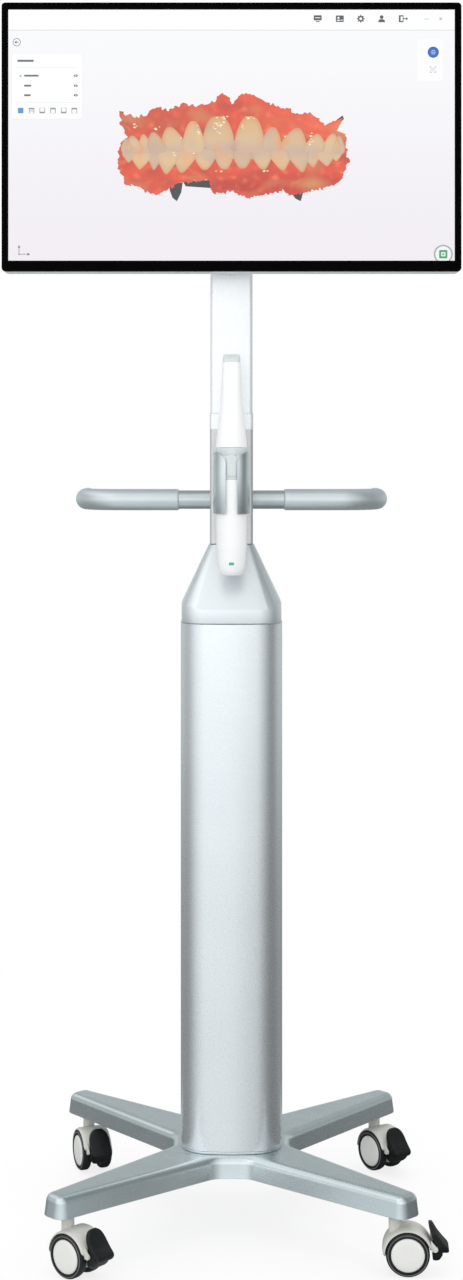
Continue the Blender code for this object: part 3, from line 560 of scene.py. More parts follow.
BEZEL = Moulded("bezel", "bezel_black", ink(1, 1, 1), 0.30, tint=ink(4, 4, 4), grain=1200.0, depth=0.01, grime=0.0,
                wear=0.0, shine=0.02)
HOOD = Moulded("hood", "hood_pale", ink(212, 212, 206), 0.40, tint=ink(200, 200, 194), grain=800.0, grime=0.15)
WHEEL = Moulded("wheel", "wheel_white", ink(236, 236, 232), 0.35, tint=ink(228, 228, 224), grain=800.0, grime=0.1)
PEDAL = Moulded("pedal", "pedal_black", ink(17, 20, 21), 0.48, tint=ink(30, 33, 34), grain=500.0, depth=0.08, grime=0.05,
                shine=0.3)
TYRE = Moulded("tyre", "tyre_black", ink(22, 24, 25), 0.60, tint=ink(40, 42, 42), grain=350.0, depth=0.12, grime=0.15,
               wear=0.4, shine=0.35)
# Painted highlight: a mid-grey ring on the black tyre's face, standing in for the line where its tread catches light.
TYRE_HIGHLIGHT = Moulded("tyre_highlight", "tyre_black", ink(112, 115, 116), 0.50, tint=ink(92, 95, 96), grain=350.0, grime=0.1)
OPTICS = Moulded("optics", "optics_black", ink(16, 16, 18), 0.35, tint=ink(28, 28, 30), grime=0.02)
MIRROR = Brushed("mirror", "mirror", ink(225, 229, 232), 0.05, tint=ink(215, 220, 224), metallic=1.0)
PANEL = Glass("panel", "screen", ink(5, 5, 6), 0.10)
PICTURE_LIGHT = Lit("picture_light", "screen", ink(250, 250, 252), 0.25, painted=True)
STATUS = Lit("status", "status_green", ink(70, 205, 150), 0.3, strength=0.9)


# Forms

def arc(centre: Flat, radius: float, start: float, end: float, steps: int) -> list[Flat]:
    """Points on a circle.

    Args:
        centre: The circle's centre.
        radius: Its radius.
        start: The first angle, in degrees.
        end: The last angle, in degrees.
        steps: How many steps lie between them.

    Returns:
        The points, both ends included.
    """
    turns = [radians(start + (end - start) * i / steps) for i in range(steps + 1)]
    return [(centre[0] + radius * cos(a), centre[1] + radius * sin(a)) for a in turns]


def rounded(width: float, depth: float, radius: float, steps: int = 8, centre: Flat = (0, 0)) -> list[Flat]:
    """Outline of a rectangle with round corners, anticlockwise.

    Args:
        width: Its whole width.
        depth: Its whole depth.
        radius: Its corner radius.
        steps: Steps for each corner.
        centre: Its middle.

    Returns:
        The outline.
    """
    points: list[Flat] = []
    for quarter, (side_x, side_y) in enumerate(((1, 1), (-1, 1), (-1, -1), (1, -1))):
        middle = (centre[0] + side_x * (width / 2 - radius), centre[1] + side_y * (depth / 2 - radius))
        points += arc(middle, radius, 90 * quarter, 90 * quarter + 90, steps)
    return points


def eased(before: Flat, corner: Flat, after: Flat, reach: float, steps: int = 6) -> list[Flat]:
    """Points that lead round a corner in a smooth bend.

    Args:
        before: The point before the corner.
        corner: The corner.
        after: The point after it.
        reach: How far from the corner the bend starts and ends.
        steps: Its steps.

    Returns:
        The bend's points.
    """
    middle = Vector(corner)
    start = middle + (Vector(before) - middle).normalized() * reach
    end = middle + (Vector(after) - middle).normalized() * reach
    shares = [i / steps for i in range(steps + 1)]
    return [tuple(start * (1 - t) ** 2 + middle * 2 * t * (1 - t) + end * t * t) for t in shares]


def inset(points: list[Flat], distance: float) -> list[Flat]:
    """An anticlockwise outline moved inwards.

    Args:
        points: The outline.
        distance: How far it is moved.

    Returns:
        The moved outline.
    """
    moved = []
    for i, here in enumerate(points):
        before = (Vector(here) - Vector(points[i - 1])).normalized()
        after = (Vector(points[(i + 1) % len(points)]) - Vector(here)).normalized()
        inward = Vector((-before.y - after.y, before.x + after.x))
        moved.append(tuple(Vector(here) + inward * distance / max(inward.length_squared / 2, 0.3)))
    return moved


class Form:
    """A mesh in the making, in millimetres about the column's axis. Each part added takes one finish."""

    def __init__(self) -> None:
        """Starts an empty form."""
        self.bm = bmesh.new()
        self.finishes: list[Finish] = []

    def _take(self, part: bmesh.types.BMesh, finish: Finish, place: Matrix) -> None:
        """Adds a part in its place.

        Args:
            part: The part's own mesh, which is freed.
            finish: Its finish.
            place: Where it goes.
        """
        if finish not in self.finishes:
            self.finishes.append(finish)
        number = self.finishes.index(finish)
        for face in part.faces:
            face.material_index = number
        bmesh.ops.transform(part, matrix=place, verts=part.verts)
        mesh = bpy.data.meshes.new("part")
        part.to_mesh(mesh)
        part.free()
        self.bm.from_mesh(mesh)
        bpy.data.meshes.remove(mesh)

    def loft(self, rings: list[list[Point]], finish: Finish, place: Matrix = Matrix(), closed: bool = False) -> None:
        """Adds a skin through rings of equally many points.

        Args:
            rings: The rings, from one end to the other.
            finish: Its finish.
            place: Where it goes.
            closed: Joins the last ring to the first instead of closing both ends.
        """
        part = bmesh.new()
        rows = [[part.verts.new(point) for point in ring] for ring in rings]
        pairs = list(zip(rows, rows[1:])) + ([(rows[-1], rows[0])] if closed else [])
        count = len(rows[0])
        for lower, upper in pairs:
            for i in range(count):
                k = (i + 1) % count
                part.faces.new((lower[i], lower[k], upper[k], upper[i]))
        if not closed:
            part.faces.new(list(reversed(rows[0])))
            part.faces.new(rows[-1])
        bmesh.ops.remove_doubles(part, verts=part.verts, dist=0.0005)
        bmesh.ops.recalc_face_normals(part, faces=part.faces)
        self._take(part, finish, place)

    def turn(self, profile: list[Flat], steps: int, finish: Finish, place: Matrix = Matrix()) -> None:
        """Adds a solid turned about Z from a profile of (radius, height).

        Args:
            profile: The profile. One that stays off the axis is closed into a ring.
            steps: Steps round the axis.
            finish: Its finish.
            place: Where it goes.
        """
        rings = [[(r * cos(2 * pi * i / steps), r * sin(2 * pi * i / steps), z) for i in range(steps)]
                 for r, z in profile]
        self.loft(rings, finish, place, closed=profile[0][0] > 0)

    def plate(self, outline: list[Flat], low: float, high: float, finish: Finish, place: Matrix = Matrix()) -> None:
        """Adds a flat plate.

        Args:
            outline: Its outline in XY.
            low: Where it starts along Z.
            high: Where it ends along Z.
            finish: Its finish.
            place: Where it goes.
        """
        self.loft([[(x, y, low) for x, y in outline], [(x, y, high) for x, y in outline]], finish, place)

    def sweep(self, path: list[Point], radius: float | list[float], finish: Finish, sides: int = 24,
              place: Matrix = Matrix()) -> None:
        """Adds a round bar along a path that lies in one level plane or bends gently.

        Args:
            path: The bar's centre line.
            radius: Its radius, or one radius for each point.
            finish: Its finish.
            sides: Sides round it.
            place: Where it goes.
        """
        points = [Vector(point) for point in path]
        sizes = radius if isinstance(radius, list) else [radius] * len(points)
        rings = []
        for i, (here, size) in enumerate(zip(points, sizes)):
            along = (points[min(i + 1, len(points) - 1)] - points[max(i - 1, 0)]).normalized()
            guide = Vector((0, 0, 1)) if abs(along.z) < 0.9 else Vector((1, 0, 0))
            side = along.cross(guide).normalized()
            up = side.cross(along)
            rings.append([tuple(here + side * size * cos(a) + up * size * sin(a))
                          for a in (2 * pi * k / sides for k in range(sides))])
        self.loft(rings, finish, place)

    def piece(self, name: str, body: str, nodes: tuple[str, ...] = (), cutters: tuple["Form", ...] = (),
              edge: float = 0.0, angle: float = 35.0, segments: int = 2) -> bpy.types.Object:
        """Makes the form's object, which rides on a body.

        Args:
            name: The object's name.
            body: The body that it rides on.
            nodes: The CAD nodes that it stands for.
            cutters: Forms that are cut out of it.
            edge: Rounding of its sharp edges, in millimetres.
            angle: Edges sharper than this, in degrees, stay crisp and are rounded.
            segments: Segments of that rounding.

        Returns:
            The object.
        """
        obj = bpy.data.objects.new(name, self._mesh(name))
        bpy.context.scene.collection.objects.link(obj)
        spare = []
        for number, cutter in enumerate(cutters):
            tool = bpy.data.objects.new(f"{name}_cut_{number}", cutter._mesh("cut"))
            bpy.context.scene.collection.objects.link(tool)
            step = obj.modifiers.new("cut", "BOOLEAN")
            step.object = tool
            spare.append(tool)
        if edge:
            bevel = obj.modifiers.new("edges", "BEVEL")
            bevel.width = edge * MM
            bevel.segments = segments
            bevel.limit_method = "ANGLE"
            bevel.angle_limit = radians(angle)
            bevel.use_clamp_overlap = True
        if cutters or edge:
            bpy.context.view_layer.update()
            graph = bpy.context.evaluated_depsgraph_get()
            made = bpy.data.meshes.new_from_object(obj.evaluated_get(graph))
            obj.modifiers.clear()
            obj.data = made
        for tool in spare:
            bpy.data.objects.remove(tool)
        obj.data.shade_smooth()
        obj.data.set_sharp_from_angle(angle=radians(angle))
        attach(obj, body)
        if nodes:
            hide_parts(*nodes)
        return obj

    def _mesh(self, name: str) -> bpy.types.Mesh:
        """The form as a mesh in the row frame.

        Args:
            name: The mesh's name.

        Returns:
            The mesh, with its finishes.
        """
        place = Matrix.Diagonal((MM, MM, MM, 1)) @ Matrix.Translation((0, AXIS_Y, 0))
        bmesh.ops.transform(self.bm, matrix=place, verts=self.bm.verts)
        mesh = bpy.data.meshes.new(name)
        self.bm.to_mesh(mesh)
        self.bm.free()
        for finish in self.finishes:
            mesh.materials.append(finish.material())
        return mesh


def dress_node(node: str, finish: Finish) -> None:
    """Gives a carried-over node its finish.

    Args:
        node: The node's name.
        finish: The finish.
    """
    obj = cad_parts[node]
    for slot in obj.material_slots:
        slot.material = finish.material()


def soften_node(node: str, finish: Finish, body: str, edge: float = 0.0, angle: float = 35.0) -> bpy.types.Object:
    """A copy of a node with smooth round faces and soft edges, which stands for it.

    Args:
        node: The node's name.
        finish: The finish.
        body: The body that it rides on.
        edge: Rounding of its sharp edges, in millimetres.
        angle: Edges sharper than this, in degrees, stay crisp and are rounded.

    Returns:
        The copy.
    """
    form = Form()
    part = bmesh.new()
    part.from_mesh(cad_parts[node].data)
    bmesh.ops.remove_doubles(part, verts=part.verts, dist=0.00001)
    bmesh.ops.dissolve_limit(part, angle_limit=radians(0.5), verts=part.verts, edges=part.edges)
    back = Matrix.Translation((0, -AXIS_Y, 0)) @ Matrix.Diagonal((1 / MM, 1 / MM, 1 / MM, 1))
    form._take(part, finish, back)
    return form.piece(f"{node}_fine", body, (node,), edge=edge, angle=angle)


# Castors

@dataclass
class Castor:
    """One braked twin-wheel castor."""

    name: str
    side_x: int
    side_y: int
    heading: float
    stem_at: float = 185.0
    base_low: float = 67.0
    trail: float = 14.0
    wheel_r: float = 24.8
    axle_z: float = 25.0 * cos(pi / 24)
    face: float = 20.0
    disc_r: float = 19.2
    pivot: Flat = (31.0, 6.0)
    steps: int = 72

    def swivel(self) -> Matrix:
        """Where the castor stands and which way it trails."""
        at = (self.side_x * self.stem_at, self.side_y * self.stem_at, 0)
        return Matrix.Translation(at) @ Matrix.Rotation(radians(self.heading), 4, "Z")

    def hub(self) -> Matrix:
        """The middle of the axle."""
        return self.swivel() @ Matrix.Translation((self.trail, 0, self.axle_z))

    def build(self) -> int:
        """Makes all its pieces.

        Returns:
            How many pieces it has.
        """
        self.build_stem()
        self.build_hood()
        self.build_pedal()
        for side, lean in (("left", 90), ("right", -90)):
            self.build_wheel(side, lean)
        dress_node(f"{self.name}_axle", STEEL)
        return 7

    def build_stem(self) -> None:
        """The steel stem with its collar."""
        low = self.base_low
        profile = [(0, low + 18), (4.7, low + 18), (5.5, low + 16.5), (5.5, low - GAP), (6.7, low - GAP),
                   (6.7, low - 3.4), (6.2, low - 4), (4.0, low - 4), (4.0, 46.0), (0, 46.0)]
        form = Form()
        form.turn(profile, 48, STEEL, self.swivel())
        form.piece(f"{self.name}_stem_fine", "root", (f"{self.name}_stem",), edge=0.25)

    def guard_section(self, turn: float, lip: float) -> list[Point]:
        """One section across the mudguard.

        Args:
            turn: Its angle about the axle, in degrees.
            lip: How far the end of the guard is drawn in, from 0 to 1.

        Returns:
            The section's ring.
        """
        half = 18.5 * (1 - 0.35 * lip)
        outer, inner = 28.5 - 1.0 * lip, 26.3 + 0.4 * lip
        crown = [(-half, inner), (-half, outer - 2.6), (-half + 1.0, outer - 1.2), (-half + 3.0, outer - 0.3)]
        flat = [(0.0, outer + 0.25)]
        section = crown + flat + [(-y, r) for y, r in reversed(crown)]
        section += [(half * 0.5, inner - 0.2), (0.0, inner - 0.3), (-half * 0.5, inner - 0.2)]
        a = radians(turn)
        return [(r * cos(a), y, r * sin(a)) for y, r in section]

    def build_hood(self) -> None:
        """Mudguard, web, neck and the ears that carry the pedal."""
        form = Form()
        turns = [10 + 177 * i / 40 for i in range(41)]
        lips = [max(0.0, 1 - min(i, 40 - i) / 3.0) ** 2 for i in range(41)]
        form.loft([self.guard_section(t, lip) for t, lip in zip(turns, lips)], HOOD, self.hub())
        lay = self.hub() @ Matrix.Rotation(radians(90), 4, "X")
        web = arc((0, 0), 27.0, 12, 188, 36) + arc((0, 0), 8.0, 215, 325, 12)
        form.plate(web, -5.5, 5.5, HOOD, lay)
        neck = [(0, 62.4), (6.6, 62.4), (7.2, 61.8), (7.3, 61.0), (7.3, 44.0), (6.4, 38.0), (0, 38.0)]
        form.turn(neck, 48, HOOD, self.swivel())
        pivot_x, pivot_z = self.pivot
        ear = arc((pivot_x, pivot_z), 3.0, -125, 70, 14) + [(25.6, 16.5), (26.6, 3.0)]
        for side in (-1, 1):
            form.plate(ear, side * 14.7 - 1.0, side * 14.7 + 1.0, HOOD, lay)
        form.piece(f"{self.name}_hood_fine", f"{self.name}_castor", (f"{self.name}_hood",), edge=0.4, angle=50)

    def build_pedal(self) -> None:
        """Black rocker with a round toe, a foot plate and a brake lobe."""
        form = Form()
        outside = [(25.2, 33.2), (26.6, 32.8), (27.8, 31.4), (29.6, 27.6), (31.6, 23.6), (34.0, 19.8), (37.4, 15.6),
                   (41.2, 11.2), (43.6, 8.8), (45.4, 6.6), (46.4, 4.4), (46.3, 2.4), (45.2, 0.8), (43.4, 0.2),
                   (41.4, 0.3), (39.6, -0.2), (38.0, -2.6), (36.4, -5.6), (34.6, -7.8), (32.8, -8.8), (30.6, -8.9),
                   (28.6, -7.4), (27.8, -4.4)]
        inside = [(28.0, 1.0), (29.0, 8.0), (28.8, 14.6), (26.6, 21.8), (24.4, 27.6), (23.6, 30.6), (24.0, 32.4)]
        lay = self.hub() @ Matrix.Rotation(radians(90), 4, "X")
        form.plate(outside + inside, -12.6, 12.6, PEDAL, lay)
        corners = Form()
        quarter = arc((0, 0), 1.0, 0, 90, 10)
        toe = [(12.7, 19.0)] + [(0.6 + 12.1 * y, 19.0 + 14.4 * z) for y, z in quarter]
        toe += [(0.6, 45.0), (20.0, 45.0), (20.0, 19.0)]
        foot = [(12.7, 8.0)] + [(5.6 + 7.1 * y, 8.0 - 8.2 * z) for y, z in quarter]
        foot += [(5.6, -2.0), (20.0, -2.0), (20.0, 8.0)]
        lobe = [(12.7, -1.0)] + [(4.6 + 8.1 * y, -1.0 - 8.2 * z) for y, z in quarter]
        lobe += [(4.6, -14.0), (20.0, -14.0), (20.0, -1.0)]
        upright = self.hub() @ Matrix.Rotation(radians(90), 4, "Z") @ Matrix.Rotation(radians(90), 4, "X")
        for side in (-1, 1):
            for outline, start, end in ((toe, 10.0, 60.0), (foot, 39.2, 60.0), (lobe, 10.0, 39.0)):
                corners.plate([(side * y, z) for y, z in outline], start, end, PEDAL, upright)
        for side in (-1, 1):
            form.plate(arc(self.pivot, 2.0, 0, 345, 23), side * 14.0 - 1.8, side * 14.0 + 1.8, PEDAL, lay)
            form.plate(arc(self.pivot, 2.7, 0, 354, 59), side * 16.2 - 0.4, side * 16.2 + 0.4, HOOD, lay)
            form.plate(arc(self.pivot, 1.0, 0, 345, 23), side * 16.7 - 0.3, side * 16.7 + 0.3, STEEL, lay)
        form.piece(f"{self.name}_pedal_fine", f"{self.name}_pedal", (f"{self.name}_pedal",), (corners,), edge=1.1,
                   angle=40, segments=3)

    def build_wheel(self, side: str, lean: float) -> None:
        """One wheel: the pale disc with its hub, and the tyre on it, with a grey ring of painted highlight in its
        groove.

        Args:
            side: left or right.
            lean: Turn about X that lays the wheel's face to its side, in degrees.
        """
        place = self.hub() @ Matrix.Rotation(radians(lean), 4, "X")
        face, disc = self.face, self.disc_r
        core = Form()
        core.turn([(0, face + 0.4), (6.0, face + 0.36), (12.0, face + 0.2), (16.0, face - 0.15), (18.0, face - 0.7),
                   (18.8, face - 1.3), (disc, face - 2.2), (disc, 8.4), (6.2, 8.4), (6.2, 6.4), (3.3, 6.4),
                   (3.3, 17.0), (0, 17.0)], self.steps, WHEEL, place)
        core.piece(f"{self.name}_disc_{side}", f"{self.name}_wheel_{side}", (f"{self.name}_wheel_{side}",), edge=0.2)
        tyre = Form()
        inner, outer = disc + GAP, self.wheel_r
        tyre.turn([(inner, face - 0.8), (21.4, face - 0.7), (22.2, face - 0.9), (22.5, face - 1.4), (22.9, face - 1.4),
                   (23.2, face - 1.1), (24.0, face - 1.8), (24.6, face - 3.0), (outer, face - 4.6), (outer, 11.0),
                   (24.3, 9.0), (23.2, 7.8), (inner, 7.8)], self.steps, TYRE, place)
        # Painted highlight: a grey ring in the groove near the tyre's edge, where the tread catches light.
        tyre.turn([(21.8, face - 0.9), (22.2, face - 0.45), (22.5, face - 0.45), (22.9, face - 1.1), (22.5, face - 2.0),
                   (21.8, face - 2.0)], self.steps, TYRE_HIGHLIGHT, place)
        tyre.piece(f"{self.name}_tread_{side}", f"{self.name}_wheel_{side}", (f"{self.name}_tyre_{side}",))


# Base, column and post

@dataclass
class Stand:
    """The base, the column with its shroud, and the post."""

    leg_tip: float = 211.0
    leg_end_half: float = 18.0
    leg_corner: float = 13.0
    leg_draft: float = 2.0
    leg_edge: float = 9.0
    hub_face: float = 73.0
    hub_flat: float = 39.0
    hub_bend: float = 9.0
    base_z: Flat = (67.0, 92.0)
    pockets: tuple[Flat, ...] = ((78.0, 148.0), (156.0, 234.0))
    stem_at: float = 185.0
    column_half: float = 60.0
    column_corner: float = 34.0
    column_bow: float = 1.5
    column_wall: float = 3.0
    column_z: Flat = (95.4, 721.0)
    post_lower: Point = (52.0, 38.0, 4.0)
    post_upper: Point = (51.0, 36.0, 4.5)
    collar: Point = (52.6, 38.6, 4.2)
    post_wall: float = 2.5
    collar_z: Flat = (953.3, 972.5)
    shroud_top: float = 815.0
    post_top: float = 1247.0
    bar_z: float = 868.0

    def build(self) -> int:
        """Makes all its pieces.

        Returns:
            How many pieces it has.
        """
        self.build_base()
        soften_node("foot_ring", SILVER, "root", edge=0.5)
        soften_node("shroud", SHROUD, "root", edge=0.8, angle=24)
        self.build_column()
        self.build_tube("lower_post", self.post_lower, self.shroud_top + GAP, self.collar_z[0] - GAP, POST_GREY)
        self.build_tube("upper_post", self.post_upper, self.collar_z[1] + GAP, self.post_top, WHITE_PAINT)
        self.build_collar()
        return 7

    def base_outline(self) -> list[Flat]:
        """Plan of the base: four tapered legs with round ends, and hub faces that bend into them.

        Returns:
            The outline, anticlockwise.
        """
        corner, end_half, hub_in = self.leg_corner, self.leg_end_half, self.hub_flat / 2
        hub_r, hub_half = (hub_in + self.hub_face) / sqrt(2), (self.hub_face - hub_in) / sqrt(2)
        end_r = (self.leg_tip - corner) * sqrt(2) - (end_half - corner) + corner
        tilt = degrees((hub_half - end_half) / (end_r - corner - hub_r))
        end = arc((end_r - corner, corner - end_half), corner, tilt - 90, 0, 10)
        end += arc((end_r - corner, end_half - corner), corner, 0, 90 - tilt, 10)
        points: list[Flat] = []
        for leg in range(4):
            turn = Matrix.Rotation(radians(45 + 90 * leg), 2)
            ahead = Matrix.Rotation(radians(135 + 90 * leg), 2)
            start, stop = turn @ Vector((hub_r, -hub_half)), turn @ Vector((hub_r, hub_half))
            outer = [tuple(turn @ Vector(point)) for point in end]
            behind = Matrix.Rotation(radians(90 * leg - 45), 2) @ Vector((hub_r, hub_half))
            points += eased(behind, start, outer[0], self.hub_bend) + outer
            points += eased(outer[-1], stop, ahead @ Vector((hub_r, -hub_half)), self.hub_bend)
        return points

    def build_base(self) -> None:
        """The cast base, with soft upper edges, pockets under its legs and the stems' bores."""
        outline = self.base_outline()
        low, high = self.base_z
        rings = [[(x, y, low) for x, y in inset(outline, 0.6)], [(x, y, low + 0.6) for x, y in outline]]
        for step in range(11):
            a = pi / 2 * step / 10
            inner = inset(outline, self.leg_draft + self.leg_edge * (1 - cos(a)))
            rings.append([(x, y, high - self.leg_edge * (1 - sin(a))) for x, y in inner])
        rings.append([(x, y, high) for x, y in inset(outline, self.leg_draft + self.leg_edge + 1.0)])
        form = Form()
        form.loft(rings, SILVER)
        hollows, bores = Form(), Form()
        for leg in range(4):
            turn = Matrix.Rotation(radians(45 + 90 * leg), 4, "Z")
            for near, far in self.pockets:
                half = [33.0 - (r - self.pockets[0][0]) * 0.115 for r in (near, far)]
                mouth = [(near, -half[0]), (far, -half[1]), (far, half[1]), (near, half[0])]
                hollows.loft([[(x, y, low - 5) for x, y in mouth], [(x, y, high - 7) for x, y in inset(mouth, 2.0)]],
                             SILVER, turn)
            bores.turn([(0, low + 19), (5.8, low + 19), (5.8, low - 5), (0, low - 5)], 32, SILVER,
                       turn @ Matrix.Translation((self.stem_at * sqrt(2), 0, 0)))
        form.piece("base_fine", "root", ("base",), (hollows, bores), angle=30)

    def column_outline(self, half: float, corner: float) -> list[Flat]:
        """Plan of the column: wide round corners, and sides that bow out.

        Args:
            half: Half its width at the crest of a side.
            corner: Its corner radius.

        Returns:
            The outline, anticlockwise.
        """
        side_r = 220.0
        tilt = acos((side_r - half) / (side_r - corner) / sqrt(2)) - pi / 4
        turn = degrees(tilt)
        along, out = (side_r - corner) * sin(tilt), half - side_r + (side_r - corner) * cos(tilt)
        points = []
        for quarter in range(4):
            side = arc((half - side_r, 0), side_r, -turn, turn, 10)
            bend = arc((out, along), corner, turn, 90 - turn, 16)[1:-1]
            a = pi / 2 * quarter
            points += [(x * cos(a) - y * sin(a), x * sin(a) + y * cos(a)) for x, y in side + bend]
        return points

    def build_column(self) -> None:
        """The tall tube with its wide round corners."""
        half = self.column_half + self.column_bow
        outer = self.column_outline(half, self.column_corner)
        inner = self.column_outline(half - self.column_wall, self.column_corner - self.column_wall)
        form = Form()
        low, high = self.column_z
        form.loft([[(x, y, low) for x, y in outer], [(x, y, high) for x, y in outer],
                   [(x, y, high) for x, y in inner], [(x, y, low) for x, y in inner]], COLUMN, closed=True)
        form.piece("column_fine", "root", ("column",), angle=40)

    def build_tube(self, node: str, section: Point, low: float, high: float, finish: Finish) -> None:
        """One post section.

        Args:
            node: The node that it stands for.
            section: Its width, depth and corner radius.
            low: Its lower end.
            high: Its upper end.
            finish: Its finish.
        """
        width, depth, radius = section
        wall = self.post_wall
        outer = rounded(width, depth, radius, 8)
        inner = rounded(width - 2 * wall, depth - 2 * wall, radius - wall, 8)
        form = Form()
        form.loft([[(x, y, low) for x, y in outer], [(x, y, high) for x, y in outer],
                   [(x, y, high) for x, y in inner], [(x, y, low) for x, y in inner]], finish, closed=True)
        cutters: tuple[Form, ...] = ()
        if low < self.bar_z < high:
            hole = Form()
            lay = Matrix.Translation((0, 0, self.bar_z)) @ Matrix.Rotation(radians(90), 4, "Y")
            hole.plate(arc((0, 0), 11.5, 0, 354, 59), -50, 50, finish, lay)
            cutters = (hole,)
        form.piece(f"{node}_fine", "root", (node,), cutters)

    def build_collar(self) -> None:
        """The solid collar between the two tubes."""
        form = Form()
        form.plate(rounded(*self.collar), *self.collar_z, WHITE_PAINT)
        form.piece("post_collar_fine", "root", ("post_collar",))


# Handle

@dataclass
class Handle:
    """The bent bar and its two grips."""

    bar_z: float = 868.0
    bar_r: float = 11.2
    grip_r: float = 12.9
    start: float = 64.0
    reach: float = 192.0
    bend: float = 45.0
    tail: float = 30.0

    def path(self, tail: float) -> list[Point]:
        """The bar's right half, from the middle to its end.

        Args:
            tail: The straight length behind the bend.

        Returns:
            The centre line.
        """
        reach = self.reach - self.grip_r
        bend = arc((reach - self.bend, self.bend), self.bend, -90, 0, 24)
        return [(0, 0, self.bar_z)] + [(x, y, self.bar_z) for x, y in bend] + [(reach, self.bend + tail, self.bar_z)]

    def build(self) -> int:
        """Makes all its pieces.

        Returns:
            How many pieces it has.
        """
        half = self.path(self.tail - 6)
        bar = Form()
        bar.sweep([(-x, y, z) for x, y, z in reversed(half)] + half[1:], self.bar_r, BAR, 32)
        bar.piece("handle_bar_fine", "root", ("handle_bar",), edge=0.6)
        for name, side in (("left_grip", -1), ("right_grip", 1)):
            self.build_grip(name, side)
        return 3

    def build_grip(self, name: str, side: int) -> None:
        """One grip, with a rim at its inner end and a rounded outer end.

        Args:
            name: The node that it stands for.
            side: -1 for the left, 1 for the right.
        """
        line = [point for point in self.path(self.tail) if point[0] > self.start]
        last = line[-1]
        line.insert(0, (self.start, 0, self.bar_z))
        near = [(self.start + d, 0.0, self.bar_z) for d in (0.5, 1.4, 2.6)]
        line[1:1] = near
        radius = [11.9, 12.5, 12.8, 12.9] + [self.grip_r] * (len(line) - 5) + [self.grip_r]
        far = [(last[0], last[1] - d, last[2]) for d in (3.4, 1.8, 0.6, 0.0)]
        line[-1:] = far
        radius[-1:] = [self.grip_r, self.grip_r - 0.5, self.grip_r - 1.6, self.grip_r - 3.4]
        form = Form()
        form.sweep([(side * x, y, z) for x, y, z in line], radius, GRIP, 32)
        bore = Form()
        core = [point for point in self.path(self.tail - 5) if point[0] > self.start]
        core.insert(0, (self.start - 5, 0, self.bar_z))
        bore.sweep([(side * x, y, z) for x, y, z in core], self.bar_r + GAP, GRIP, 32)
        form.piece(f"{name}_fine", "root", (name,), (bore,), angle=60)


# Cradle and scanner

